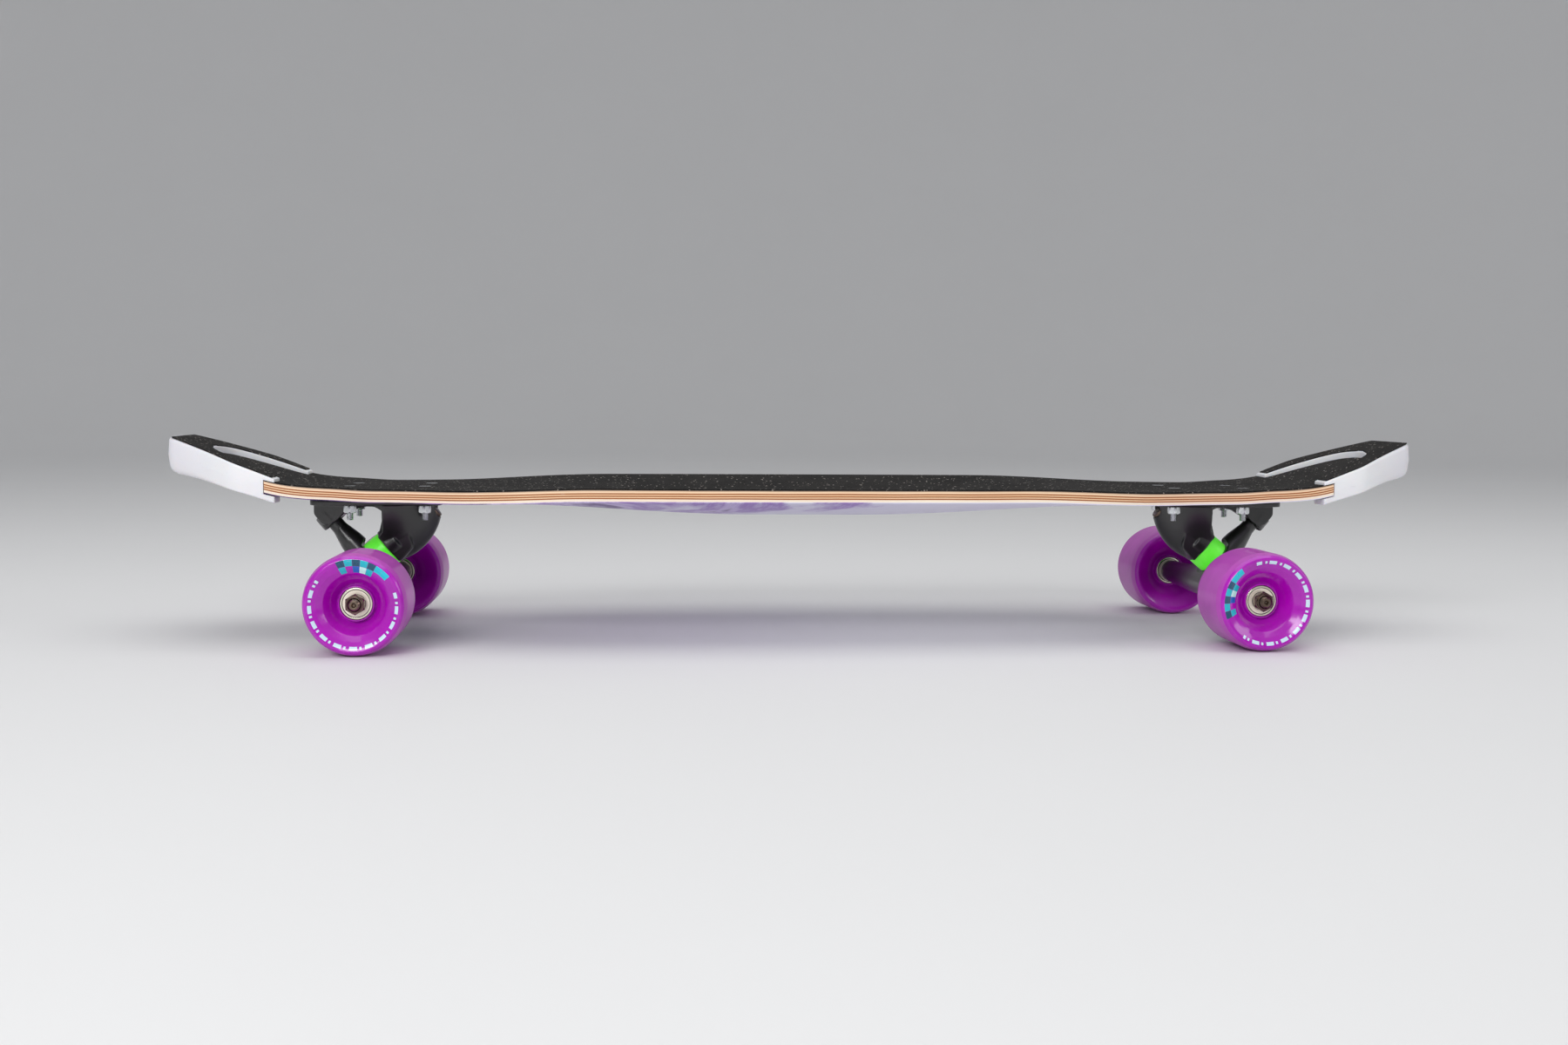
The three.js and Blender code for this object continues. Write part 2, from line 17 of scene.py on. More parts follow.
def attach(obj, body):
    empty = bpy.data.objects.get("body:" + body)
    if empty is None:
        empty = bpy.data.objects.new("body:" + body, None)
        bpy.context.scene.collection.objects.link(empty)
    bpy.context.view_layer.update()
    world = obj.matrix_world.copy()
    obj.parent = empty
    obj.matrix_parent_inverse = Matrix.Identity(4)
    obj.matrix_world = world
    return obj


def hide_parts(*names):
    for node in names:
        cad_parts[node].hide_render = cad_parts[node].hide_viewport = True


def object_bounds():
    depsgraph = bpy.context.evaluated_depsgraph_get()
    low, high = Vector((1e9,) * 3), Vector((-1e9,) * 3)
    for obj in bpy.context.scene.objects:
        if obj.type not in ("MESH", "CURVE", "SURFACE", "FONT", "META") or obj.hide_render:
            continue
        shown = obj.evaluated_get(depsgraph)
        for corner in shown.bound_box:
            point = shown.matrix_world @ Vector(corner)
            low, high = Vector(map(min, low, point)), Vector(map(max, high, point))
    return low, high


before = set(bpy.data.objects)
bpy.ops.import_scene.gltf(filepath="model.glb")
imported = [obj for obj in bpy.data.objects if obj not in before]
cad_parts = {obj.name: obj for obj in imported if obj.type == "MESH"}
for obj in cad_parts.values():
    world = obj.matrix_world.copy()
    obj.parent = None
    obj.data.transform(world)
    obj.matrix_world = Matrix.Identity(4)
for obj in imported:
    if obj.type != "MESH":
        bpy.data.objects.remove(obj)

cad_low, cad_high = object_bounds()
MM = 0.001
ENDS = {"nose": 1, "tail": -1}
SIDES = {"left": 1, "right": -1}
print("the board measures", [round((b - a) / MM, 1) for a, b in zip(cad_low, cad_high)], "mm")

# %% [markdown]
# ## Where to stand
#
# The camera looks across the board from its right side, low down, a little towards the tail.
# A camera is placed by a matrix: its columns are the picture's right, the picture's up, and
# the way back from the scene. Yaw, pitch and roll are turned into those three directions.

# %% Camera
VIEW = {"place": (-0.1206, -1.2612, 0.1782), "yaw": 4.79, "pitch": -4.37, "roll": 0.42}
LENS_MM = 38.43
SENSOR_MM = 36


def linked(name, data):
    """An object in the scene, for a mesh, a camera or a light."""
    made = bpy.data.objects.new(name, data)
    bpy.context.scene.collection.objects.link(made)
    return made


def make_camera():
    yaw, pitch, roll = (math.radians(VIEW[key]) for key in ("yaw", "pitch", "roll"))
    forward = Vector((
        math.sin(yaw) * math.cos(pitch),
        math.cos(yaw) * math.cos(pitch),
        math.sin(pitch),
    ))
    level = Vector((math.cos(yaw), -math.sin(yaw), 0))
    upright = level.cross(forward)
    right = math.cos(roll) * level + math.sin(roll) * upright
    up = math.cos(roll) * upright - math.sin(roll) * level
    data = bpy.data.cameras.new("camera")
    data.lens = LENS_MM
    data.sensor_width = SENSOR_MM
    data.clip_start = 0.01
    camera = linked("camera", data)
    turn = Matrix((right, up, -forward)).transposed().to_4x4()
    camera.matrix_world = Matrix.Translation(VIEW["place"]) @ turn
    bpy.context.scene.camera = camera
    return camera


camera = make_camera()
print("the camera is", round(camera.location.length, 3), "m from the middle of the board")

# %% [markdown]
# ## Working in millimetres
#
# Blender's unit is the metre, but a skateboard's parts are measured in millimetres. Each
# piece is therefore shaped in millimetres as a bmesh, and one helper scales it down, gives it
# its material, and hangs it on the body that it moves with.

# %% Turning a bmesh into a finished piece
def mesh_from(name, bm):
    mesh = bpy.data.meshes.new(name)
    bm.to_mesh(mesh)
    bm.free()
    return mesh


def finished(name, bm, material, body, stands_for=(), crease=35):
    """Scales a bmesh from millimetres, and makes it a smooth-shaded piece on a body."""
    bm.transform(Matrix.Scale(MM, 4))
    mesh = mesh_from(name, bm)
    mesh.materials.append(material)
    mesh.shade_smooth()
    mesh.set_sharp_from_angle(angle=math.radians(crease))
    piece = linked(name, mesh)
    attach(piece, body)
    if stands_for:
        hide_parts(*stands_for)
    return piece


def closed(bm, reach=1e-4):
    """Merges doubles and turns every face outwards."""
    bmesh.ops.remove_doubles(bm, verts=bm.verts, dist=reach)
    bmesh.ops.recalc_face_normals(bm, faces=bm.faces)
    return bm


def moved(bm, place):
    """Takes a bmesh to its place, if it is given one."""
    if place is not None:
        bm.transform(place)
    return bm


# %% [markdown]
# Most outlines have corners with a small radius. The helper below takes a few corner points
# with a radius each, and puts an arc at every corner, as a draughtsman would.

# %% Rounding the corners of an outline
def filleted(corners, steps=5, loop=True):
    """Points round an outline of (a, b, radius) corners, each corner an arc."""
    points = []
    count = len(corners)
    for i, (a, b, radius) in enumerate(corners):
        here = Vector((a, b))
        inside = loop or 0 < i < count - 1
        if radius <= 0 or not inside:
            points.append(here)
            continue
        before = Vector(corners[i - 1][:2]) - here
        after = Vector(corners[(i + 1) % count][:2]) - here
        half = before.angle(after) / 2
        run = min(radius / math.tan(half), 0.49 * before.length, 0.49 * after.length)
        start = here + before.normalized() * run
        stop = here + after.normalized() * run
        for step in range(steps + 1):
            t = step / steps
            points.append((1 - t) ** 2 * start + 2 * t * (1 - t) * here + t * t * stop)
    return [(p.x, p.y) for p in points]


def along(point, direction):
    """A matrix that takes +Z onto a line through a point."""
    turn = Vector((0, 0, 1)).rotation_difference(Vector(direction)).to_matrix().to_4x4()
    return Matrix.Translation(point) @ turn


def turned(corners, steps=72, place=None, arc=4):
    """Spins (radius, height, corner radius) corners a full turn about +Z."""
    ring = corners[0][0] > 0
    outline = filleted(corners, arc, loop=ring)
    bm = bmesh.new()
    verts = [bm.verts.new((radius, 0, height)) for radius, height in outline]
    edges = [bm.edges.new(pair) for pair in zip(verts, verts[1:])]
    if ring:
        edges.append(bm.edges.new((verts[-1], verts[0])))
    bmesh.ops.spin(
        bm, geom=verts + edges, cent=(0, 0, 0), axis=(0, 0, 1),
        angle=2 * math.pi, steps=steps, use_merge=True,
    )
    return moved(closed(bm), place)


square = filleted([(0, 0, 1), (9, 0, 1), (9, 9, 1), (0, 9, 1)])
print("a filleted square has", len(square), "points")

# %% [markdown]
# ## Shader helpers
#
# A material is a small machine of nodes. One function adds a node and wires or sets its
# inputs; another starts a node group, for effects that several finishes share.

# %% Nodes and groups
def feed(tree, socket, value):
    """Wires a socket to another node's socket, or sets it to a plain value."""
    if isinstance(value, bpy.types.NodeSocket):
        tree.links.new(value, socket)
    else:
        socket.default_value = value


def node(tree, kind, inputs=None, **settings):
    made = tree.nodes.new("ShaderNode" + kind)
    for name, value in settings.items():
        setattr(made, name, value)
    for socket, value in (inputs or {}).items():
        feed(tree, made.inputs[socket], value)
    return made


def calc(tree, operation, *values, clamp=False):
    made = node(tree, "Math", dict(enumerate(values)), operation=operation, use_clamp=clamp)
    return made.outputs[0]


def mixed(tree, factor, first, second, blend="MIX"):
    made = node(tree, "Mix", data_type="RGBA", blend_type=blend)
    sockets = [s for s in made.inputs if s.type == "RGBA"]
    feed(tree, made.inputs[0], factor)
    feed(tree, sockets[0], first)
    feed(tree, sockets[1], second)
    return next(s for s in made.outputs if s.type == "RGBA")


def tinted(tree, base, mask, share, colour, blend="MIX"):
    """Lays a colour over a base, by a share of a mask."""
    return mixed(tree, calc(tree, "MULTIPLY", mask, share), base, colour, blend)


def ramp(tree, factor, stops, interpolation="LINEAR"):
    made = node(tree, "ValToRGB", {0: factor})
    band = made.color_ramp
    band.interpolation = interpolation
    while len(band.elements) < len(stops):
        band.elements.new(0.5)
    for element, (position, colour) in zip(band.elements, stops):
        element.position = position
        element.color = colour
    return made.outputs[0]


def grey(value):
    return (value, value, value, 1)


def new_group(name, inputs, outputs):
    """An empty node group. inputs and outputs map each socket's name to its type."""
    tree = bpy.data.node_groups.new(name, "ShaderNodeTree")
    for in_out, sockets in (("INPUT", inputs), ("OUTPUT", outputs)):
        for socket, kind in sockets.items():
            tree.interface.new_socket(socket, in_out=in_out, socket_type="NodeSocket" + kind)
    given = tree.nodes.new("NodeGroupInput").outputs
    result = tree.nodes.new("NodeGroupOutput").inputs
    return tree, given, result


def use_group(tree, group, inputs):
    made = tree.nodes.new("ShaderNodeGroup")
    made.node_tree = group
    for socket, value in inputs.items():
        feed(tree, made.inputs[socket], value)
    return made.outputs


def effect(tree, group, where, scale, amount):
    """One of the shared effects below: each takes a place, a scale and an amount."""
    return use_group(tree, group, {0: where, 1: scale, 2: amount})[0]


def new_material(name, **settings):
    """A Principled material. Settings are the shader's own sockets, set to plain values."""
    material = bpy.data.materials.new(name)
    material.use_nodes = True
    tree = material.node_tree
    shader = tree.nodes["Principled BSDF"]
    for socket, value in settings.items():
        shader.inputs[socket.replace("_", " ")].default_value = value
    where = tree.nodes.new("ShaderNodeTexCoord").outputs["Object"]
    return material, tree, shader, where


def bump(tree, shader, height, strength, distance):
    made = node(tree, "Bump", {"Height": height, "Strength": strength, "Distance": distance})
    tree.links.new(made.outputs[0], shader.inputs["Normal"])


def set_roughness(tree, shader, base, *shares):
    """Wires a roughness: a base value, and for each mask its share on top."""
    for mask, share in shares:
        base = calc(tree, "MULTIPLY_ADD", mask, share, base)
    tree.links.new(base, shader.inputs["Roughness"])


# %% [markdown]
# ### Effects that several finishes share
#
# - Mottle: slow, cloudy variation, because no real surface is one even tone.
# - Grain: the fine height of a cast, moulded or ground skin.
# - Scuffs: short, thin, directed scratches that break up gloss.
# - Edge wear: where corners rub bright. It reads the pointiness of the mesh, so it only
#   works where corners are modelled round, as they are here.
# - Dust: a thin film that gathers on faces that look up.

# %% Mottle, grain, scuffs, edge wear and dust
def make_mottle():
    tree, given, result = new_group(
        "Mottle", {"Vector": "Vector", "Scale": "Float", "Contrast": "Float"}, {"Value": "Float"})
    cloud = node(tree, "TexNoise", {
        "Vector": given["Vector"], "Scale": given["Scale"], "Detail": 4.0, "Roughness": 0.6})
    centred = calc(tree, "SUBTRACT", cloud.outputs[0], 0.5)
    spread = calc(tree, "MULTIPLY_ADD", centred, given["Contrast"], 0.5, clamp=True)
    tree.links.new(spread, result["Value"])
    return tree


def make_grain():
    tree, given, result = new_group(
        "Grain", {"Vector": "Vector", "Scale": "Float", "Coarse": "Float"}, {"Height": "Float"})
    fine = node(tree, "TexNoise", {
        "Vector": given["Vector"], "Scale": given["Scale"], "Detail": 3.0, "Roughness": 0.65})
    wide_scale = calc(tree, "MULTIPLY", given["Scale"], 0.12)
    wide = node(tree, "TexNoise", {"Vector": given["Vector"], "Scale": wide_scale, "Detail": 2.0})
    swell = calc(tree, "MULTIPLY", wide.outputs[0], given["Coarse"])
    tree.links.new(calc(tree, "ADD", fine.outputs[0], swell), result["Height"])
    return tree


def make_scuffs():
    tree, given, result = new_group(
        "Scuffs", {"Vector": "Vector", "Scale": "Float", "Cover": "Float"}, {"Mask": "Float"})
    masks = []
    for turn, seed in ((0.5, 3.1), (2.1, 7.7)):
        place = node(tree, "Mapping", {
            "Vector": given["Vector"], "Location": (seed, seed, seed),
            "Rotation": (turn, 0.4, turn), "Scale": (1.0, 9.0, 9.0)})
        lines = node(tree, "TexNoise", {
            "Vector": place.outputs[0], "Scale": given["Scale"], "Detail": 2.0})
        high = calc(tree, "SUBTRACT", lines.outputs[0], calc(tree, "SUBTRACT", 0.78, given["Cover"]))
        masks.append(calc(tree, "MULTIPLY", high, 14.0, clamp=True))
    tree.links.new(calc(tree, "MAXIMUM", *masks), result["Mask"])
    return tree


def make_edge_wear():
    tree, given, result = new_group(
        "Edge wear", {"Vector": "Vector", "Scale": "Float", "Amount": "Float"}, {"Mask": "Float"})
    sharp = calc(tree, "SUBTRACT", node(tree, "NewGeometry").outputs["Pointiness"], 0.52)
    edge = calc(tree, "MULTIPLY", sharp, 12.0, clamp=True)
    patch = node(tree, "TexNoise", {"Vector": given["Vector"], "Scale": given["Scale"], "Detail": 5.0})
    broken = calc(tree, "MULTIPLY", calc(tree, "SUBTRACT", patch.outputs[0], 0.42), 5.0, clamp=True)
    tree.links.new(
        calc(tree, "MULTIPLY", calc(tree, "MULTIPLY", edge, broken), given["Amount"]), result["Mask"])
    return tree


def make_dust():
    tree, given, result = new_group(
        "Dust", {"Vector": "Vector", "Scale": "Float", "Amount": "Float"}, {"Mask": "Float"})
    facing = node(tree, "SeparateXYZ", {0: node(tree, "NewGeometry").outputs["Normal"]}).outputs[2]
    specks = node(tree, "TexNoise", {"Vector": given["Vector"], "Scale": given["Scale"], "Detail": 6.0})
    settled = calc(tree, "MULTIPLY", calc(tree, "MAXIMUM", facing, 0.0), specks.outputs[0])
    tree.links.new(calc(tree, "MULTIPLY", settled, given["Amount"], clamp=True), result["Mask"])
    return tree


MOTTLE, GRAIN, SCUFFS, EDGE_WEAR, DUST = (
    make() for make in (make_mottle, make_grain, make_scuffs, make_edge_wear, make_dust))
print("shared effects:", ", ".join(group.name for group in (MOTTLE, GRAIN, SCUFFS, EDGE_WEAR, DUST)))

# %% [markdown]
# ## The board's surfaces
#
# The deck is nearly flat over each truck, hangs down in between, curls up at its rails, and
# kicks up at both ends. Those shapes are simple formulas of the place along the board and the
# place across it. The CAD deck uses the same ones, so the smooth deck lies in its box.

# %% Heights and outlines
DECK = {"thickness": 8.5, "flat_top": 108.5, "dip": 10.7, "rail": 3.4, "power": 2.4,
        "kick_slope": 0.335, "kick_start": 345, "kick_blend": 40, "kick_rail": 1.9}
GAP = 0.3
GRIP_THICKNESS = 0.8
NOTCH_X = 385
DECK_END_X = 454.5
BUMPER_START_X = 378
BUMPER_WALL = 4.6
BUMPER_END_X = cad_high.x / MM
RECESS_END_X = 434


def smooth_step(start, stop, x):
    t = min(max((x - start) / (stop - start), 0), 1)
    return t * t * (3 - 2 * t)


def curve_through(points):
    """A smooth curve through (x, value) points, read at any x."""
    slope = []
    for i in range(len(points)):
        before, after = points[max(i - 1, 0)], points[min(i + 1, len(points) - 1)]
        slope.append((after[1] - before[1]) / (after[0] - before[0]))

    def read(x):
        i = 0
        while i < len(points) - 2 and x > points[i + 1][0]:
            i += 1
        (x0, v0), (x1, v1) = points[i], points[i + 1]
        t = min(max((x - x0) / (x1 - x0), 0), 1)
        m0, m1 = slope[i] * (x1 - x0), slope[i + 1] * (x1 - x0)
        return v0 + t * (m0 + t * (3 * (v1 - v0) - 2 * m0 - m1 + t * (m0 + m1 - 2 * (v1 - v0))))
    return read


def spine(x):
    reach = abs(x)
    bend = min(max(reach - DECK["kick_start"], 0), DECK["kick_blend"])
    beyond = max(reach - DECK["kick_start"] - DECK["kick_blend"], 0)
    kick = DECK["kick_slope"] * (bend * bend / (2 * DECK["kick_blend"]) + beyond)
    return DECK["flat_top"] - DECK["dip"] * (1 - smooth_step(40, 268, reach)) + kick


def rail_rise(x):
    reach = abs(x)
    amidships = DECK["rail"] * (1 - smooth_step(150, 270, reach))
    dip = DECK["dip"] * (1 - smooth_step(40, 268, reach))
    share = min(max((reach - 310) / 85, 0), 1)
    return amidships + dip + DECK["kick_rail"] * math.sin(math.pi * share) ** 2


board_outline = curve_through([
    (-60, 111.5), (60, 111.5), (120, 110), (170, 106.5), (205, 102), (240, 90), (270, 76),
    (300, 68), (330, 66), (360, 68), (388, 69.5)])
bumper_outline = curve_through([
    (374, 69.4), (390, 70), (403, 69.6), (409.5, 67.6), (415, 64), (430, 53.4), (450, 40),
    (457.5, 34), (461.2, 26), (BUMPER_END_X, 10)])
recess_outline = curve_through([
    (366, 54), (378, 50.5), (395, 45), (408, 39), (418, 33), (426, 26), (431, 17),
    (RECESS_END_X, 5)])


def deck_half_width(x):
    reach = abs(x)
    return board_outline(reach) if reach <= NOTCH_X else bumper_outline(reach + 2) - BUMPER_WALL


def deck_top(x, y):
    across = min(abs(y) / board_outline(min(abs(x), NOTCH_X)), 1)
    return spine(x) + rail_rise(x) * across ** DECK["power"]


def bumper_top(x):
    reach = abs(x) - 380
    return 118.4 + reach * (0.4 - 0.0007 * reach)


def bumper_bottom(x):
    reach = abs(x) - 381
    return 100.8 + reach * (0.345 - 0.0014 * reach)


print("rail above the middle line amidships:", round(rail_rise(0), 1), "mm")

# %% [markdown]
# ## A curved sheet
#
# The deck and the tape on it are the same kind of shape: a flat grid, cut to an outline, laid
# on a curved surface, and given a thickness. The grid's columns are listed so that a sudden
# change of width, where the deck goes into a bumper, falls exactly on a pair of them.

# %% Laying a grid on a surface
def spaced(start, stop, step):
    count = max(round((stop - start) / step), 1)
    return [start + (stop - start) * i / count for i in range(count + 1)]


def both_ways(columns):
    return [-x for x in reversed(columns) if x > 0] + columns


def extruded(bm, faces, rise):
    """Extrudes faces straight up, or down where the rise is negative."""
    made = bmesh.ops.extrude_face_region(bm, geom=faces)
    shifted = [item for item in made["geom"] if isinstance(item, bmesh.types.BMVert)]
    bmesh.ops.translate(bm, vec=(0, 0, rise), verts=shifted)
    bmesh.ops.recalc_face_normals(bm, faces=bm.faces)
    return bm


def curved_sheet(columns, rows, half_width, height, thickness):
    bm = bmesh.new()
    bmesh.ops.create_grid(bm, x_segments=len(columns) - 1, y_segments=rows, size=1)
    last = len(columns) - 1
    for vert in bm.verts:
        x = columns[round((vert.co.x + 1) / 2 * last)]
        y = vert.co.y * half_width(x)
        vert.co = (x, y, height(x, y))
    return extruded(bm, bm.faces[:], -thickness)


def bevelled(bm, edges, radius, segments=3):
    bmesh.ops.bevel(
        bm, geom=edges, offset=radius, offset_type="OFFSET", segments=segments,
        profile=0.5, affect="EDGES", material=-1, clamp_overlap=True)
    return bm


def soften_rims(bm, radius, segments=3, least_angle=50):
    rims = [e for e in bm.edges
            if len(e.link_faces) == 2 and math.degrees(e.calc_face_angle(0)) > least_angle]
    return bevelled(bm, rims, radius, segments)


# %% [markdown]
# ### Maple and printed glass skin
#
# A pressed deck is sheets of maple glued together, and its sanded edge shows them as tan
# stripes with thin brown glue lines. The stripes and the grain follow the bent surface, so
# the material can't read them from height. Each vertex therefore carries its own depth below
# the top face, from 0 to 1, and both read that. The underside has a pale skin with an
# abstract wash.

# %% Deck material
GLUE_LINES = (0.29, 0.48, 0.67)


def make_deck_maple():
    material, tree, shader, where = new_material(
        "deck_maple", Roughness=0.42, Coat_Weight=0.12, Coat_Roughness=0.22, IOR=1.5,
        Specular_IOR_Level=0.3)
    depth = node(tree, "Attribute", attribute_name="ply_depth").outputs["Fac"]
    wander = node(tree, "TexNoise", {"Vector": where, "Scale": 25.0, "Detail": 2.0}).outputs[0]
    level = calc(tree, "MULTIPLY_ADD", calc(tree, "SUBTRACT", wander, 0.5), 0.05, depth)
    along_x, across_y = node(tree, "SeparateXYZ", {0: where}).outputs[:2]
    bent = node(tree, "CombineXYZ", {
        0: calc(tree, "MULTIPLY", along_x, 30.0), 1: calc(tree, "MULTIPLY", across_y, 12.0),
        2: calc(tree, "MULTIPLY", depth, 14.0)}).outputs[0]
    fibre = node(tree, "TexNoise", {
        "Vector": bent, "Scale": 1.0, "Detail": 6.0, "Roughness": 0.6}).outputs[0]
    blotch = effect(tree, MOTTLE, where, 14.0, 2.2)
    plies = ramp(tree, level, [
        (0.0, (0.04, 0.02, 0.01, 1)), (0.05, (0.30, 0.13, 0.06, 1)), (0.10, (0.86, 0.58, 0.36, 1)),
        (0.27, (0.95, 0.70, 0.45, 1)), (0.31, (0.90, 0.58, 0.31, 1)), (0.46, (0.96, 0.72, 0.44, 1)),
        (0.52, (0.90, 0.60, 0.34, 1)), (0.66, (0.94, 0.66, 0.40, 1)), (0.72, (0.98, 0.86, 0.68, 1)),
        (0.98, (0.96, 0.88, 0.78, 1))])
    wood = tinted(tree, plies, fibre, 0.45, (1.0, 0.88, 0.70, 1))
    wood = tinted(tree, wood, blotch, 0.18, (0.72, 0.40, 0.22, 1), "MULTIPLY")
    for line in GLUE_LINES:
        away = calc(tree, "ABSOLUTE", calc(tree, "SUBTRACT", level, line))
        glue = calc(tree, "SUBTRACT", 2.1, calc(tree, "MULTIPLY", away, 30.0), clamp=True)
        patchy = calc(tree, "MULTIPLY", glue, calc(tree, "MULTIPLY_ADD", fibre, 1.0, 0.6), clamp=True)
        wood = mixed(tree, patchy, wood, (0.36, 0.11, 0.03, 1))

    # The wash: pale lavender towards the nose, marbled violet towards the tail.
    swirl = node(tree, "TexNoise", {
        "Vector": where, "Scale": 7.0, "Detail": 9.0, "Roughness": 0.62, "Distortion": 1.6}).outputs[0]
    forward = node(tree, "SeparateXYZ", {0: where}).outputs[0]
    spread = calc(tree, "MULTIPLY_ADD", forward, -1.05, 0.02)
    wash = ramp(tree, calc(tree, "ADD", swirl, spread, clamp=True), [
        (0.0, (0.80, 0.79, 0.90, 1)), (0.50, (0.74, 0.71, 0.88, 1)), (0.60, (0.34, 0.20, 0.56, 1)),
        (0.66, (0.62, 0.52, 0.80, 1)), (0.74, (0.12, 0.05, 0.24, 1)), (0.84, (0.30, 0.16, 0.50, 1)),
        (1.0, (0.035, 0.02, 0.07, 1))])
    under = calc(tree, "GREATER_THAN", depth, 0.93)
    colour = mixed(tree, under, wood, wash)
    scuff = effect(tree, SCUFFS, where, 60.0, 0.06)
    colour = tinted(tree, colour, scuff, 0.25, (0.75, 0.70, 0.68, 1))
    tree.links.new(colour, shader.inputs["Base Color"])
    set_roughness(tree, shader, 0.28, (scuff, 0.2), (fibre, 0.25))
    bump(tree, shader, fibre, 0.18, 0.0004)
    return material


deck_maple = make_deck_maple()

# %% Deck
def build_deck():
    columns = spaced(0, NOTCH_X, 5) + [NOTCH_X + 0.1] + spaced(NOTCH_X + 3, DECK_END_X, 5)
    bm = curved_sheet(both_ways(columns), 36, deck_half_width, deck_top, DECK["thickness"])
    soften_rims(bm, 0.9)
    deck = finished("deck_board", bm, deck_maple, "board", ["deck"], crease=60)
    depth = deck.data.attributes.new("ply_depth", "FLOAT", "POINT")
    for vert, item in zip(deck.data.vertices, depth.data):
        x, y, z = vert.co / MM
        item.value = (deck_top(x, y) - z) / DECK["thickness"]
    return deck


deck = build_deck()
print("deck faces:", len(deck.data.polygons))

# %% [markdown]
# ### Grip tape
#
# Grip tape is sharp black grit set in resin. Each grain points its own way, so a few of them
# catch the light at any moment. Cells of a Voronoi texture give every grain its height, and
# a lucky few a painted glint: a lighter colour that stands in for that caught light.

# %% Grip material and the tape on the deck
def make_grip_paper():
    material, tree, shader, where = new_material(
        "grip_paper", Roughness=0.85, IOR=1.5, Specular_IOR_Level=0.15)
    cells = node(tree, "TexVoronoi", {"Vector": where, "Scale": 900.0, "Randomness": 1.0})
    tone = node(tree, "SeparateColor", {0: cells.outputs["Color"]})
    coarse = node(tree, "TexVoronoi", {"Vector": where, "Scale": 620.0}).outputs["Distance"]
    grit = calc(tree, "MULTIPLY_ADD", tone.outputs[0], 0.6, coarse)
    # Painted highlight: a few grit cells get a lighter colour, standing in for the light a grain
    # catches.
    painted_glint = calc(tree, "MULTIPLY", calc(tree, "SUBTRACT", tone.outputs[1], 0.972), 60.0, clamp=True)
    cloud = effect(tree, MOTTLE, where, 9.0, 1.6)
    dust = effect(tree, DUST, where, 40.0, 0.10)
    base = ramp(tree, cloud, [(0.0, (0.004, 0.004, 0.004, 1)), (1.0, (0.012, 0.011, 0.011, 1))])
    base = mixed(tree, dust, base, (0.30, 0.28, 0.26, 1))
    base = tinted(tree, base, tone.outputs[2], 0.10, grey(0.10))
    tree.links.new(mixed(tree, painted_glint, base, (0.27, 0.24, 0.215, 1)), shader.inputs["Base Color"])
    set_roughness(tree, shader, 0.9, (painted_glint, -0.62))
    bump(tree, shader, grit, 0.9, 0.0006)
    return material


grip_paper = make_grip_paper()


def build_deck_grip():
    edge = BUMPER_START_X - GAP

    def half_width(x):
        reach = abs(x)
        return board_outline(reach) - 0.6 if reach <= edge else recess_outline(reach) - 2 * GAP

    columns = spaced(0, edge, 6) + [edge + 0.1] + spaced(edge + 3, RECESS_END_X - 1, 4)
    top = GAP + GRIP_THICKNESS
    bm = curved_sheet(both_ways(columns), 30, half_width, lambda x, y: deck_top(x, y) + top, 1.0)
    soften_rims(bm, 0.25, segments=2)
    return finished("deck_grip", bm, grip_paper, "board", ["grip_tape"])


deck_grip = build_deck_grip()
print("deck grip faces:", len(deck_grip.data.polygons))

# %% [markdown]
# ### Cutting and joining
#
# Screw holes, notches and sockets are easiest to think of as one solid taken from another.
# A Boolean modifier does that between two objects, so the helper makes short-lived objects,
# reads the result back as a bmesh, and clears up after itself.

# %% Booleans and casting
def scratch_object(bm):
    return linked("scratch", mesh_from("scratch", bm))


def read_back(body, scratch):
    mesh = body.evaluated_get(bpy.context.evaluated_depsgraph_get()).to_mesh()
    result = bmesh.new()
    result.from_mesh(mesh)
    for made in scratch:
        bpy.data.meshes.remove(made.data)
    return result


def add_boolean(piece, tool, operation="DIFFERENCE"):
    step = piece.modifiers.new("combine", "BOOLEAN")
    step.operation = operation
    step.solver = "EXACT"
    step.object = tool


def combined(bm, tools, operation="DIFFERENCE"):
    scratch = [scratch_object(source) for source in (bm, *tools)]
    for tool in scratch[1:]:
        add_boolean(scratch[0], tool, operation)
    return read_back(scratch[0], scratch)


def cast(bm, voxel=0.55, rounds=7, keep=0.3):
    """Rebuilds a solid as a poured casting: one skin, with a fillet at every corner."""
    body = scratch_object(bm)
    skin = body.modifiers.new("skin", "REMESH")
    skin.mode = "VOXEL"
    skin.voxel_size = voxel
    smooth = body.modifiers.new("fillets", "SMOOTH")
    smooth.factor = 0.5
    smooth.iterations = rounds
    lighter = body.modifiers.new("lighter", "DECIMATE")
    lighter.ratio = keep
    return read_back(body, [body])


def prism(corners, low, high, place=None):
    """A straight solid on an outline of (a, b) corners, from one height to another."""
    bm = bmesh.new()
    face = bm.faces.new([bm.verts.new((a, b, low)) for a, b in corners])
    return moved(extruded(bm, [face], high - low), place)


def rod(radius, low, high, place=None, soft=0.0, steps=64):
    return turned(
        [(0, low, 0), (radius, low, soft), (radius, high, soft), (0, high, 0)], steps, place, arc=3)


def ring(inner, outer, low, high, soft_bore, soft_rim, steps=64, place=None):
    """A flat ring with a bore, such as a washer or a sleeve."""
    return turned([(inner, low, soft_bore), (outer, low, soft_rim), (outer, high, soft_rim),
                   (inner, high, soft_bore)], steps, place)


# Whatever is shaped at the nose is turned half round to make its twin at the tail.
AT_END = {"nose": None, "tail": Matrix.Rotation(math.pi, 4, "Z")}


def copy_of(bm, place=None):
    return moved(bm.copy(), place)


def wrapped(bm, lower, upper):
    """A band of faces between two closed loops of vertices."""
    for i in range(len(lower)):
        j = (i + 1) % len(lower)
        bm.faces.new((lower[i], lower[j], upper[j], upper[i]))


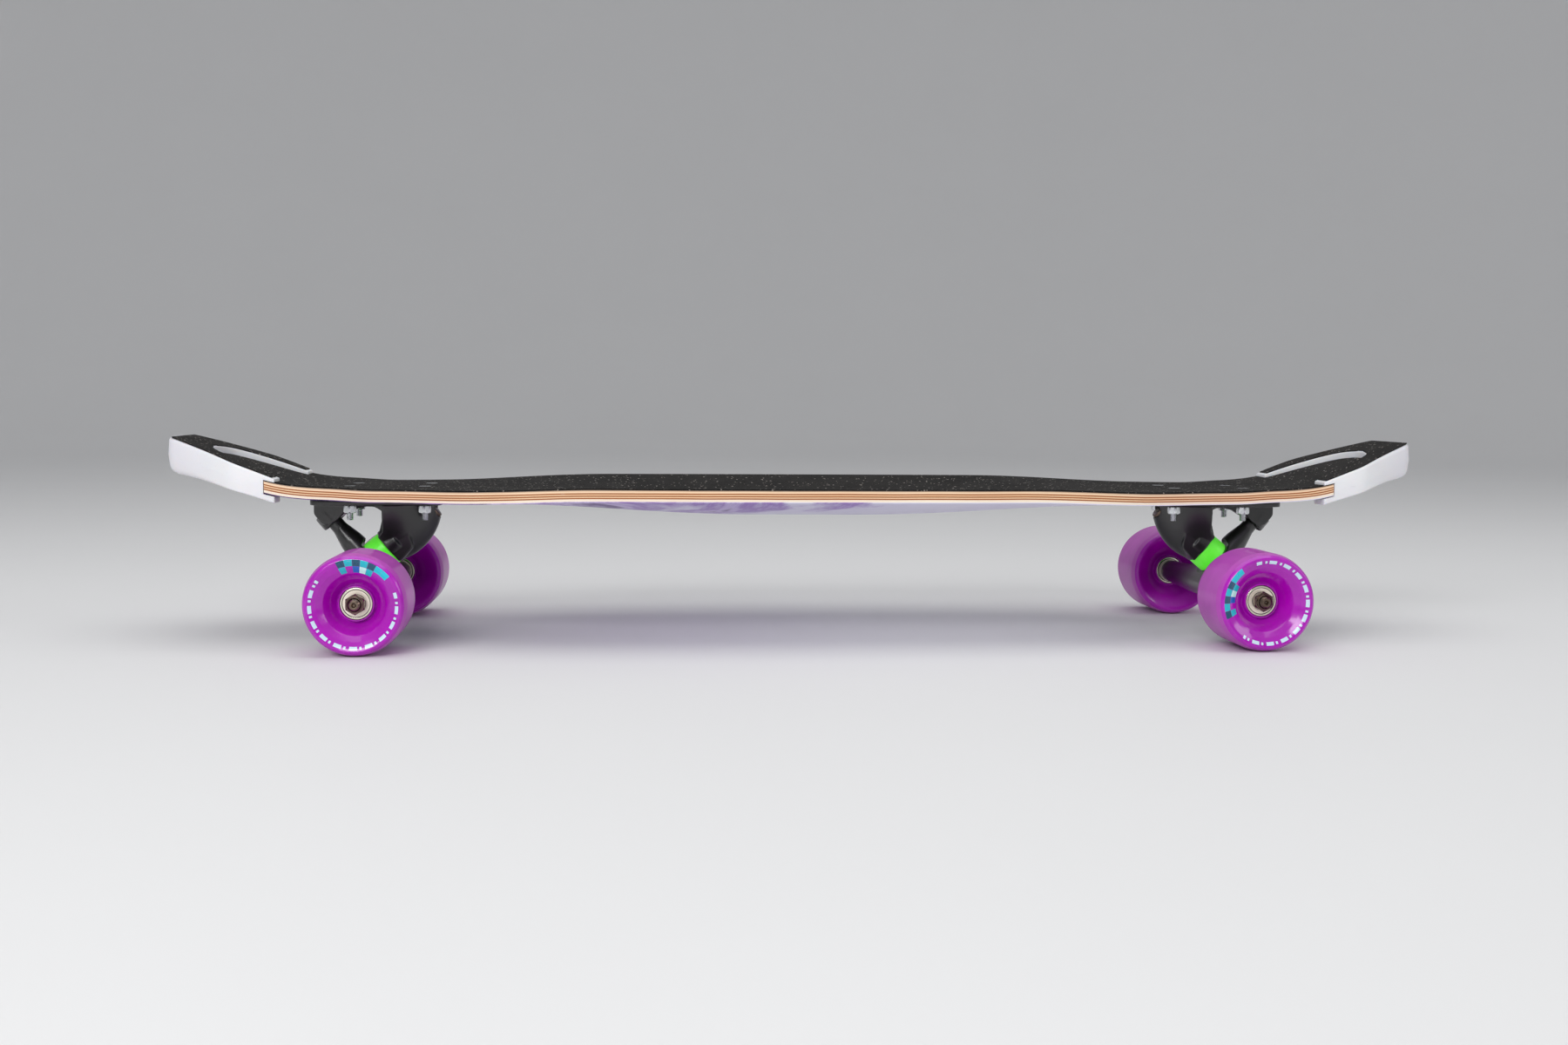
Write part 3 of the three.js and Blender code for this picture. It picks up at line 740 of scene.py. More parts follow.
# %% [markdown]
# ### Bolts and their holes
#
# Each truck hangs from four countersunk screws that go through the tape, the deck and the
# plate. A screw's head is a cone, flush with the tape, with a hexagonal socket in it; its
# lower end is threaded and carries a nut. A nut is a hexagon whose corners are turned off to
# a cone, which is what makes the curved edges on its faces.

# %% Nuts, threads and screws
BOLT_X = (280.6, 334.5)
BOLT_Y = (-20.6, 20.6)
BOLT = {"head": 4.6, "shank": 2.35, "sink": 2.6, "tail": 84.6, "flats": 8.4, "nut": 5.4,
        "socket": 2}
BOLT_TOP = DECK["flat_top"] + GAP + GRIP_THICKNESS
PLATE = {"low_x": 268, "high_x": 363, "half_width": 29, "thickness": 4.1, "corner": 9}
PLATE_TOP = DECK["flat_top"] - DECK["thickness"] - GAP
PLATE_BOTTOM = PLATE_TOP - PLATE["thickness"]


def nut(flats, bore, low, high, place=None, collar=0.0, steps=96):
    """A chamfered hexagonal nut about +Z. A collar is the round ring of a lock nut."""
    top = high - collar
    wide = flats / 2 / math.cos(math.pi / 6)
    turned_off = 0.28 * (wide - flats / 2) + flats / 2
    drop = 0.16 * flats / 2
    rings = [(bore, low + 0.4, False), (bore + 0.4, low, False), (flats / 2 - 0.1, low, False),
             (turned_off, low + 0.35 * drop, True), (wide, low + drop, True),
             (wide, top - drop, True), (turned_off, top - 0.35 * drop, True),
             (flats / 2 - 0.1, top, False)]
    if collar:
        rings += [(flats / 2 - 0.7, top + 0.05, False), (flats / 2 - 0.8, high - 0.5, False),
                  (flats / 2 - 1.3, high, False)]
    rings += [(bore + 0.5, high, False), (bore, high - 0.4, False)]
    bm = bmesh.new()
    loops = []
    for reach, height, hexagonal in rings:
        loop = []
        for i in range(steps):
            angle = 2 * math.pi * i / steps
            flat = (angle + math.pi / 6) % (math.pi / 3) - math.pi / 6
            radius = min(reach, flats / 2 / math.cos(flat)) if hexagonal else reach
            loop.append(bm.verts.new((radius * math.cos(angle), radius * math.sin(angle), height)))
        loops.append(loop)
    for lower, upper in zip(loops, loops[1:] + loops[:1]):
        wrapped(bm, lower, upper)
    bmesh.ops.recalc_face_normals(bm, faces=bm.faces)
    return moved(bm, place)


def thread(radius, low, high, pitch, depth):
    """Points of a ridged profile: crests and roots between two heights."""
    turns = max(int((high - low) / pitch), 1)
    points = []
    for i in range(turns):
        start = low + (high - low) * i / turns
        step = (high - low) / turns
        points += [(radius - depth, start + 0.1 * step, 0), (radius, start + 0.45 * step, 0),
                   (radius, start + 0.55 * step, 0), (radius - depth, start + 0.9 * step, 0)]
    return points


def bolt_places():
    for end, sign in ENDS.items():
        for row, x in zip(("inner", "outer"), BOLT_X):
            for side, other in SIDES.items():
                yield end, row, side, sign * x, other * BOLT_Y[1]


def bolt_holes(clear=GAP):
    low, high = BOLT["tail"] - 3, BOLT_TOP + 3
    neck = BOLT_TOP - BOLT["sink"]
    hole = [(0, low, 0), (BOLT["shank"] + clear, low, 0), (BOLT["shank"] + clear, neck, 0),
            (BOLT["head"] + clear, BOLT_TOP - 0.5, 0), (BOLT["head"] + clear, high, 0), (0, high, 0)]
    return [turned(hole, 32, Matrix.Translation((x, y, 0))) for _, _, _, x, y in bolt_places()]


def build_bolt(name, x, y, material):
    head, shank, tail = BOLT["head"], BOLT["shank"], BOLT["tail"]
    profile = [(0, tail, 0), (shank - 0.4, tail, 0)]
    profile += thread(shank, tail + 0.3, PLATE_BOTTOM - 1, 0.8, 0.22)
    face = BOLT_TOP - 0.06
    profile += [(shank, PLATE_BOTTOM, 0), (shank, BOLT_TOP - BOLT["sink"], 0.4),
                (head, BOLT_TOP - 0.45, 0.15), (head - 0.05, face, 0.1), (0, face, 0)]
    place = Matrix.Translation((x, y, 0))
    body = turned(profile, 40, place)
    socket = [(BOLT["socket"] * math.cos(math.pi / 3 * i), BOLT["socket"] * math.sin(math.pi / 3 * i))
              for i in range(6)]
    body = combined(body, [prism(socket, BOLT_TOP - 2, BOLT_TOP + 1, place)])
    nut_top = PLATE_BOTTOM - GAP
    nut_bm = nut(BOLT["flats"], shank - 0.2, nut_top - BOLT["nut"], nut_top, place)
    holder = mesh_from("scratch", nut_bm)
    body.from_mesh(holder)
    bpy.data.meshes.remove(holder)
    return finished(f"{name}_screw", body, material, "board", [name], crease=32)


# %% [markdown]
# ### Metal finishes
#
# All the steel here shares one recipe: a slightly varied tone, a fine grain, scuffs, and a
# roughness that wanders. Only the tint and the shine change. The castings are black paint
# over aluminium, so they are not metallic: a dark base with a glossy coat, paint-thin at the
# corners where a little grey shows.

# %% Steel and painted castings
def make_steel(name, tint, dark, shine, tarnish):
    material, tree, shader, where = new_material(name, Metallic=1.0, IOR=2.5)
    cloud = effect(tree, MOTTLE, where, 160.0, 2.0)
    wide = effect(tree, MOTTLE, where, 38.0, 2.4)
    scuff = effect(tree, SCUFFS, where, 420.0, 0.10)
    grain = effect(tree, GRAIN, where, 5200.0, 0.5)
    base = mixed(tree, calc(tree, "MULTIPLY", wide, tarnish), (*tint, 1), (*dark, 1))
    base = tinted(tree, base, cloud, 0.25, (*dark, 1))
    base = tinted(tree, base, scuff, 0.35, (*(min(1, c * 1.25) for c in tint), 1))
    tree.links.new(base, shader.inputs["Base Color"])
    set_roughness(tree, shader, shine, (cloud, 0.14), (scuff, 0.12))
    bump(tree, shader, grain, 0.12, 0.00004)
    return material


def make_truck_black():
    material, tree, shader, where = new_material(
        "truck_black", Roughness=0.34, Coat_Weight=0.5, Coat_Roughness=0.16, IOR=1.55)
    grain = effect(tree, GRAIN, where, 900.0, 0.9)
    peel = effect(tree, GRAIN, where, 300.0, 1.0)
    cloud = effect(tree, MOTTLE, where, 45.0, 1.8)
    dust = effect(tree, DUST, where, 130.0, 0.045)
    wear = effect(tree, EDGE_WEAR, where, 260.0, 0.25)
    scuff = effect(tree, SCUFFS, where, 110.0, 0.07)
    base = ramp(tree, cloud, [(0.0, (0.004, 0.004, 0.004, 1)), (1.0, (0.010, 0.010, 0.010, 1))])
    base = mixed(tree, dust, base, (0.36, 0.34, 0.33, 1))
    base = mixed(tree, wear, base, (0.16, 0.16, 0.17, 1))
    tree.links.new(base, shader.inputs["Base Color"])
    set_roughness(tree, shader, 0.27, (cloud, 0.10), (dust, 1.2), (scuff, 0.16))
    bump(tree, shader, calc(tree, "MULTIPLY_ADD", peel, 0.6, grain), 0.16, 0.00035)
    return material


bearing_steel = make_steel("bearing_steel", (0.70, 0.66, 0.60), (0.38, 0.33, 0.27), 0.18, 0.35)
zinc_steel = make_steel("zinc_steel", (0.80, 0.82, 0.84), (0.52, 0.54, 0.56), 0.20, 0.30)
dark_steel = make_steel("dark_steel", (0.24, 0.18, 0.14), (0.06, 0.042, 0.034), 0.18, 0.6)
truck_black = make_truck_black()
for end, row, side, x, y in bolt_places():
    build_bolt(f"{end}_{row}_{side}_bolt", x, y, zinc_steel)
print("screws:", len(list(bolt_places())))

# %% Cut the screw holes
def drill(piece, holes):
    """Takes holes out of a finished piece, keeping its own attributes."""
    scratch = []
    for hole in holes:
        hole.transform(Matrix.Scale(MM, 4))
        tool = scratch_object(hole)
        scratch.append(tool)
        add_boolean(piece, tool)
    seen = piece.evaluated_get(bpy.context.evaluated_depsgraph_get())
    mesh = bpy.data.meshes.new_from_object(seen)
    piece.modifiers.clear()
    piece.data = mesh
    for tool in scratch:
        bpy.data.meshes.remove(tool.data)


drill(deck, bolt_holes(0.0))
drill(deck_grip, bolt_holes())
print("drilled deck faces:", len(deck.data.polygons))

# %% [markdown]
# ### Moulded bumpers
#
# Each kick is wrapped by a moulded rim. Its section is a letter C that grips the deck: a lip
# above, a lip below, and a wall outside. The section's points follow three outlines round the
# end of the board: the outside wall, the inside of the channel, and the edge of the lips.
# Each section has its corners rounded first, and the closed loops are then joined by bands of
# faces. Only the two cut ends are bevelled afterwards.

# %% Bumper shape
BUMPER_GRIP = 0.6
TAPE_FROM_X, TAPE_END_X = 380, 458.5


def skin_top(x):
    return bumper_top(x) - BUMPER_GRIP - GAP


def walked(outline, from_x, end_x, count):
    """Points round one end, from the right arm to the left, at even steps of length."""
    half = [(x, outline(x)) for x in spaced(from_x, end_x, 0.4)]
    half += [(end_x, half[-1][1] * (1 - i / 12)) for i in range(1, 13)]
    path = [Vector((x, -y)) for x, y in half] + [Vector(p) for p in half[-2::-1]]
    lengths = [0.0]
    for a, b in zip(path, path[1:]):
        lengths.append(lengths[-1] + (b - a).length)
    points = []
    at = 0
    for i in range(count + 1):
        target = lengths[-1] * i / count
        while at < len(path) - 2 and lengths[at + 1] < target:
            at += 1
        run = lengths[at + 1] - lengths[at]
        points.append(path[at].lerp(path[at + 1], (target - lengths[at]) / run if run else 0))
    return points


def bridged(bm, loops):
    for lower, upper in zip(loops, loops[1:]):
        wrapped(bm, lower, upper)
    bm.faces.new(loops[0][::-1])
    bm.faces.new(loops[-1])
    bmesh.ops.recalc_face_normals(bm, faces=bm.faces)
    return bm


def rim_section(outer, groove, edge):
    """One section of the rim, with every corner rounded, as points in space."""
    inwards = edge - outer
    lip, wall = inwards.length, (groove - outer).length
    inwards.normalize()
    slot_top, upper = deck_top(*groove) + 2 * GAP, deck_top(*edge) + 2 * GAP
    slot_bottom, lower = (top - DECK["thickness"] - 4 * GAP for top in (slot_top, upper))
    low, high = bumper_bottom(outer.x), skin_top(outer.x)
    tip = smooth_step(405, 460, outer.x)
    section = filleted([
        (lip, bumper_bottom(edge.x), 1.4 + tip), (0.5 + tip, low, 1.5 + 8 * tip),
        (0, (low + high) / 2, 14), (0.4 + 0.4 * tip, high, 1.3 + 1.6 * tip),
        (lip, skin_top(edge.x), 0.7), (lip, upper, 0.5), (wall, slot_top, 0.6),
        (wall, slot_bottom, 0.6), (lip, lower, 1.2)], steps=6)
    return [(outer.x + inwards.x * u, outer.y + inwards.y * u, z) for u, z in section]


def build_bumper_shell(count=130):
    wall = walked(bumper_outline, BUMPER_START_X, BUMPER_END_X, count)
    channel = walked(lambda x: deck_half_width(x) + 2 * GAP if x > NOTCH_X else 65.6,
                     BUMPER_START_X, DECK_END_X + 2 * GAP, count)
    lips = walked(recess_outline, BUMPER_START_X, RECESS_END_X, count)
    bm = bmesh.new()
    loops = [[bm.verts.new(co) for co in rim_section(*points)]
             for points in zip(wall, channel, lips)]
    bridged(bm, loops)
    ends = {v for loop in (loops[0], loops[-1]) for v in loop}
    rims = [e for e in bm.edges if e.verts[0] in ends and e.verts[1] in ends]
    bevelled(bm, rims, 0.7)
    spare = 0.15
    notch = curved_sheet(
        spaced(366, NOTCH_X + 0.4, 3), 24, lambda x: 90,
        lambda x, y: deck_top(x, y) + 2 * GAP + spare, DECK["thickness"] + 4 * GAP + 2 * spare)
    bm = combined(bm, [notch])
    bmesh.ops.remove_doubles(bm, verts=bm.verts, dist=0.02)
    return bm


def build_bumper_tape():
    across, count = 8, 150
    inset, margin = 1.6, 1.2
    bm = bmesh.new()
    wall = walked(lambda x: bumper_outline(x) - inset, TAPE_FROM_X, TAPE_END_X, count)
    edge = walked(lambda x: recess_outline(x) + margin, TAPE_FROM_X, RECESS_END_X + margin, count)
    loops = []
    for number, (outer, inner) in enumerate(zip(wall, edge)):
        ragged = 0.35 * math.sin(number * 1.7) * math.sin(number * 0.61 + 1)
        outer = outer.lerp(inner, 0.03 + 0.012 * ragged)
        inner = inner.lerp(outer, 0.02 * (1 + ragged))
        section = []
        for level in (0.0, BUMPER_GRIP):
            for i in range(across + 1):
                share = i / across if level == 0 else 1 - i / across
                p = inner.lerp(outer, share)
                section.append((p.x, p.y, skin_top(p.x) + GAP * 0.4 + level * 1.2))
        loops.append([bm.verts.new(co) for co in section])
    bridged(bm, loops)
    return soften_rims(bm, 0.18, segments=2, least_angle=40)


# %% [markdown]
# White urethane lets light in a little way before it scatters back, which is why its edges
# look soft and warm. Subsurface scattering does that, with a small radius. The rest is a
# faint mottle, small scuffs that are duller and greyer, and a satin roughness. Round each
# tip the white is tinted a darker lavender: painted shade, where the end wall turns from the light.

# %% Bumper material and pieces
def make_bumper_urethane():
    material, tree, shader, where = new_material(
        "bumper_urethane", Roughness=0.38, IOR=1.5, Subsurface_Weight=0.35,
        Subsurface_Radius=(1.0, 0.72, 0.55), Subsurface_Scale=0.005)
    cloud = effect(tree, MOTTLE, where, 22.0, 1.6)
    fine = effect(tree, GRAIN, where, 1400.0, 0.6)
    scuff = effect(tree, SCUFFS, where, 90.0, 0.07)
    dust = effect(tree, DUST, where, 90.0, 0.06)
    ahead = node(tree, "SeparateXYZ", {0: where}).outputs[0]
    # Painted shade: tip marks the ends of the rim, which are tinted a darker lavender, as if they turn
    # away from the light.
    tip = calc(tree, "MULTIPLY", calc(tree, "SUBTRACT", calc(tree, "ABSOLUTE", ahead), 0.412), 26.0,
               clamp=True)
    base = ramp(tree, cloud, [(0.0, (0.80, 0.80, 0.83, 1)), (1.0, (0.90, 0.90, 0.91, 1))])
    base = tinted(tree, base, tip, 0.7, (0.74, 0.72, 0.78, 1))
    base = tinted(tree, base, scuff, 0.35, (0.56, 0.54, 0.55, 1))
    base = mixed(tree, dust, base, (0.50, 0.47, 0.44, 1))
    tree.links.new(base, shader.inputs["Base Color"])
    set_roughness(tree, shader, 0.30, (scuff, 0.2), (cloud, 0.12))
    bump(tree, shader, fine, 0.10, 0.0003)
    return material


bumper_urethane = make_bumper_urethane()
shell = build_bumper_shell()
tape = build_bumper_tape()
for end, place in AT_END.items():
    finished(f"{end}_rim", copy_of(shell, place), bumper_urethane, "board",
             [f"{end}_bumper"], crease=50)
    finished(f"{end}_rim_grip", copy_of(tape, place), grip_paper, "board",
             [f"{end}_bumper_grip"])
print("bumper faces:", len(shell.faces), "tape faces:", len(tape.faces))

# %% [markdown]
# ### Trucks
#
# A truck has a fixed half, the baseplate, and a swinging half, the hanger. Both are castings:
# several simple volumes that run together with fillets. They are modelled as those volumes,
# joined, cut with their holes, and re-skinned as one casting, holes and all.
#
# The kingpin leans 40 degrees below the horizontal. The hanger swings about an axis at right
# angles to it, through the middle of its ring and the tip of its stem.

# %% Truck directions and castings
AXLE_X = 314.7
AXLE_Z = 35
HANGER_END_Y = 88
RAKE = math.radians(40)
KINGPIN_AXIS = Vector((math.cos(RAKE), 0, -math.sin(RAKE)))
STEERING_AXIS = Vector((math.sin(RAKE), 0, math.cos(RAKE)))
SEAT = Vector((309.3, 0, 63))
RING_FROM, RING_TO = 13.6, 23.4
KINGPIN_BORE = 5.1
CUP = {"inner": 6.05, "outer": 8.15, "mouth": 40, "floor": 46.85, "end": 48.65}
RING_CENTRE = SEAT + KINGPIN_AXIS * (RING_FROM + RING_TO) / 2
ON_KINGPIN = along(SEAT, KINGPIN_AXIS)
ON_STEERING = along(RING_CENTRE, STEERING_AXIS)
ON_AXLE = along(Vector((AXLE_X, 0, AXLE_Z)), (0, 1, 0))


def across_board(corners, half_width):
    """A prism across the board, on an outline of (x, z, corner radius)."""
    bm = prism(filleted(corners), -half_width, half_width)
    bm.transform(Matrix.Rotation(math.pi / 2, 4, "X"))
    return bm


def build_baseplate():
    low, high, half, corner = PLATE["low_x"], PLATE["high_x"], PLATE["half_width"], PLATE["corner"]
    outline = filleted([(low, -half, corner), (high, -half, corner), (high, half, corner),
                        (low, half, corner)], steps=8)
    plate = prism(outline, PLATE_BOTTOM, PLATE_TOP)
    quarter = [math.pi / 2 * i / 24 for i in range(25)]
    dome = turned([(math.sin(a), -math.cos(a), 0) for a in quarter] + [(1, 0.03, 0), (0, 0.03, 0)], 64)
    dome.transform(Matrix.Translation((312.5, 0, 97)) @ Matrix.Diagonal((42.5, 16.8, 45.5, 1)))
    ahead = across_board([(312.7, 130, 0), (312.7, 76, 2), (316.2, 71.3, 1), (300.2, 52.2, 1),
                          (330, 20, 0), (380, 20, 0), (380, 130, 0)], 60)
    dome = combined(dome, [ahead])
    throat = across_board([(298, 92, 0), (312.6, 86, 5), (316, 71.5, 1.5), (300.5, 52.8, 1.5),
                           (290, 64, 6)], 12.6)
    collar = rod(14.1, -9, 0, ON_KINGPIN, soft=0.8)
    boss = rod(9.7, 39, 49.9, ON_STEERING, soft=1.2)
    foot = across_board([(335, 98, 0), (341, 88, 6), (347, 82, 5), (356.5, 80.2, 3), (362.7, 88, 4),
                         (362.7, 98, 0)], 9.6)
    rib = across_board([
        (305, 98, 0), (305, 84, 0), (311, 82, 3), (314.5, 90, 6), (320, 93, 4), (326, 93.2, 4),
        (333, 91.4, 4), (341, 86, 3), (345, 98, 0)], 3)
    body = combined(plate, [dome, throat, collar, boss, foot, rib], "UNION")
    above = prism([(200, -60), (420, -60), (420, 60), (200, 60)], PLATE_TOP - 0.05, 140)
    kingpin_bore = turned([(0, -75, 0), (6.83, -75, 0), (6.83, -38.7, 0), (KINGPIN_BORE, -38.7, 0),
                           (KINGPIN_BORE, 12, 0), (0, 12, 0)], 60, ON_KINGPIN)
    bores = [kingpin_bore, rod(CUP["outer"] + 0.35, 34, 49, ON_STEERING)]
    return cast(combined(body, [above, *bores]))


def build_hanger():
    end = HANGER_END_Y
    tube = turned([(0, -end, 0), (8.7, -end, 0.8), (9.5, -60, 20), (10.5, -30, 20), (10.5, 30, 20),
                   (9.5, 60, 20), (8.7, end, 0.8), (0, end, 0)], 96, ON_AXLE)
    eye = rod(14.9, RING_FROM - 1, RING_TO - 0.05, ON_KINGPIN, soft=1)
    web_place = Matrix((
        (0, STEERING_AXIS.x, KINGPIN_AXIS.x, RING_CENTRE.x), (1, 0, 0, 0),
        (0, STEERING_AXIS.z, KINGPIN_AXIS.z, RING_CENTRE.z), (0, 0, 0, 1)))
    web = prism(filleted([(-13, 6, 2), (-40, -12, 12), (-40, -22, 0), (40, -22, 0), (40, -12, 12),
                          (13, 6, 2)]), -4.1, 4.1, web_place)
    stem = turned([(0, 2, 0), (11, 2, 0), (8.5, 22, 12), (5.7, 34, 4), (5.7, 44.5, 1.5),
                   (3.9, 46.5, 1), (0, 46.5, 0)], 64, ON_STEERING)
    body = combined(tube, [eye, web, stem], "UNION")
    cuts = [rod(16.2, -10, RING_FROM, ON_KINGPIN), rod(11.1, RING_TO - 0.4, 60, ON_KINGPIN),
            rod(8, 0, 40, ON_KINGPIN), rod(4.4, -95, 95, ON_AXLE)]
    return cast(combined(body, cuts))


baseplate = build_baseplate()
hanger = build_hanger()
for end, place in AT_END.items():
    finished(f"{end}_base_casting", copy_of(baseplate, place), truck_black, "board",
             [f"{end}_baseplate"], crease=60)
    finished(f"{end}_hanger_casting", copy_of(hanger, place), truck_black, f"{end}_truck",
             [f"{end}_hanger"], crease=60)
print("casting faces:", len(baseplate.faces), len(hanger.faces))

# %% [markdown]
# ### Bushings, kingpin, washers and pivot cup
#
# The ring of the hanger is squeezed between two urethane bushings on the kingpin. They are
# poured in a mould, so the corners are soft and the sides a little barrelled. The kingpin is
# a bolt with a round head buried in the plate and a lock nut at its free end.

# %% Kingpin pieces
def make_bushing_urethane():
    material, tree, shader, where = new_material(
        "bushing_urethane", Roughness=0.34, IOR=1.5, Emission_Strength=0.4,
        Subsurface_Weight=0.4, Subsurface_Radius=(0.35, 1.0, 0.25), Subsurface_Scale=0.004)
    cloud = effect(tree, MOTTLE, where, 90.0, 2.0)
    fine = effect(tree, GRAIN, where, 2000.0, 0.8)
    scuff = effect(tree, SCUFFS, where, 200.0, 0.07)
    dust = effect(tree, DUST, where, 260.0, 0.14)
    base = ramp(tree, cloud, [(0.0, (0.09, 0.78, 0.03, 1)), (1.0, (0.16, 0.92, 0.06, 1))])
    base = tinted(tree, base, scuff, 0.25, (0.45, 0.90, 0.32, 1))
    base = mixed(tree, dust, base, (0.30, 0.30, 0.22, 1))
    tree.links.new(base, shader.inputs["Base Color"])
    # Painted light: with Emission Strength 0.4 the bushings glow faintly in their own green, which
    # brightens them where they lie in shade; they are no lamp.
    tree.links.new(base, shader.inputs["Emission Color"])
    set_roughness(tree, shader, 0.26, (scuff, 0.2), (cloud, 0.14))
    bump(tree, shader, fine, 0.12, 0.0002)
    return material


def make_cup_plastic():
    material, tree, shader, where = new_material("cup_plastic", Roughness=0.55, IOR=1.5)
    cloud = effect(tree, MOTTLE, where, 200.0, 2.0)
    fine = effect(tree, GRAIN, where, 1800.0, 0.8)
    base = ramp(tree, cloud, [(0.0, (0.016, 0.016, 0.017, 1)), (1.0, (0.05, 0.05, 0.052, 1))])
    tree.links.new(base, shader.inputs["Base Color"])
    set_roughness(tree, shader, 0.45, (cloud, 0.2))
    bump(tree, shader, fine, 0.2, 0.0002)
    return material


bushing_urethane = make_bushing_urethane()
cup_plastic = make_cup_plastic()


# Heights along the kingpin are measured from the plate's seat, towards the road.
KINGPIN = {"radius": 4.75, "head": 6.4, "head_end": -45, "shoulder": -39.1, "tip": 48.4}
BOARD_BUSHING = {"wide": 13.25, "narrow": 13.25, "low": 0.3, "height": 13, "barrel": 0.15}
ROAD_BUSHING = {"wide": 10.75, "narrow": 9.35, "low": 23.3, "height": 11.0, "barrel": 0.1}
CUP_WASHER = {"radius": 9.2, "low": 34.65, "high": 36.15}
LOCK_NUT = {"flats": 14.2, "low": 36.5, "high": 44.45, "collar": 2.2}


def bushing(wide, narrow, low, height, barrel):
    high = low + height
    middle = low + height / 2
    return turned([
        (KINGPIN_BORE, low, 0.4), (wide - barrel, low, 0.9), (wide, middle - 1, 6),
        ((wide + narrow) / 2, middle + 1, 6), (narrow - barrel, high, 0.9),
        (KINGPIN_BORE, high, 0.4)], 80, ON_KINGPIN, arc=6)


def kingpin_bolt():
    radius, head, tip = KINGPIN["radius"], KINGPIN["head"], KINGPIN["tip"]
    head_end, shoulder = KINGPIN["head_end"], KINGPIN["shoulder"]
    profile = [(0, head_end, 0), (head, head_end, 0.8), (head, shoulder, 0.4),
               (radius, shoulder, 0.3), (radius, 27, 0)]
    profile += thread(radius, 27.5, tip - 0.8, 1.25, 0.4)
    profile += [(radius - 0.45, tip - 0.6, 0), (radius - 0.85, tip, 0.2), (0, tip, 0)]
    return turned(profile, 56, ON_KINGPIN)


def pivot_liner():
    inner, outer, mouth = CUP["inner"], CUP["outer"], CUP["mouth"]
    return turned([(0, CUP["floor"], 0), (inner, CUP["floor"], 0.8), (inner, mouth, 0.5),
                   (outer, mouth, 0.5), (outer, CUP["end"], 0.8), (0, CUP["end"], 0)],
                  56, ON_STEERING)


cup_washer = ring(
    KINGPIN_BORE, CUP_WASHER["radius"], CUP_WASHER["low"], CUP_WASHER["high"], 0.2, 0.4, 72, ON_KINGPIN)
lock_nut = nut(LOCK_NUT["flats"], KINGPIN_BORE, LOCK_NUT["low"], LOCK_NUT["high"], ON_KINGPIN,
               collar=LOCK_NUT["collar"])
KINGPIN_PIECES = (
    ("kingpin", "kingpin_bolt", kingpin_bolt(), dark_steel, "dark_steel"),
    ("kingpin_nut", "kingpin_lock_nut", lock_nut, zinc_steel, "zinc_steel"),
    ("road_washer", "cup_washer", cup_washer, zinc_steel, "zinc_steel"),
    ("board_bushing", "barrel_bushing", bushing(**BOARD_BUSHING), bushing_urethane,
     "bushing_urethane"),
    ("road_bushing", "cone_bushing", bushing(**ROAD_BUSHING), bushing_urethane,
     "bushing_urethane"),
    ("pivot_cup", "pivot_liner", pivot_liner(), cup_plastic, "cup_plastic"),
)
for end, place in AT_END.items():
    for cad_name, piece_name, bm, material, slot in KINGPIN_PIECES:
        finished(f"{end}_{piece_name}", copy_of(bm, place), material, "board",
                 [f"{end}_{cad_name}"], crease=32)
print("pieces on each kingpin:", len(KINGPIN_PIECES))

# %% [markdown]
# ### Wheels
#
# A wheel is turned: one profile, spun about the axle. The tread is a flat band with a matte
# ground skin, the shoulders are rounded, and the faces are dished round the bearing seats and
# stay glossy from the mould. A printed band decorates the outer face: here a generic pattern
# of three rows of small squares with gaps between them, then dashes and dots.
#
# The shader finds its way by the distance and the angle from the wheel's own axis, which a
# shared group works out from the Object coordinates.

# %% Polar group and wheel material
WHEEL_OUTER = 130.4
WHEEL_FACE_DEPTH = 9


def make_polar():
    tree, given, result = new_group(
        "Round the axle", {"Vector": "Vector"}, {"Radius": "Float", "Turn": "Float", "Outward": "Float"})
    split = node(tree, "SeparateXYZ", {0: given["Vector"]}).outputs
    off_axle = calc(tree, "MULTIPLY", calc(tree, "SIGN", split[0]), AXLE_X * MM)
    ahead = calc(tree, "MULTIPLY", calc(tree, "SUBTRACT", split[0], off_axle), 1000.0)
    above = calc(tree, "MULTIPLY", calc(tree, "SUBTRACT", split[2], AXLE_Z * MM), 1000.0)
    radius = calc(tree, "SQRT", calc(
        tree, "ADD", calc(tree, "MULTIPLY", ahead, ahead), calc(tree, "MULTIPLY", above, above)))
    turn = calc(tree, "MULTIPLY_ADD", calc(tree, "ARCTAN2", above, ahead), 0.5 / math.pi, 0.5)
    outward = calc(tree, "MULTIPLY", calc(tree, "ABSOLUTE", split[1]), 1000.0)
    for name, value in (("Radius", radius), ("Turn", turn), ("Outward", outward)):
        tree.links.new(value, result[name])
    return tree


POLAR = make_polar()
PRINT = {"inner": 17.4, "outer": 31.5, "rows": 3, "columns": 35, "span": 0.29, "strokes": 28.8}


def inside(tree, value, low, high):
    above = calc(tree, "GREATER_THAN", value, low)
    return calc(tree, "MULTIPLY", above, calc(tree, "LESS_THAN", value, high))


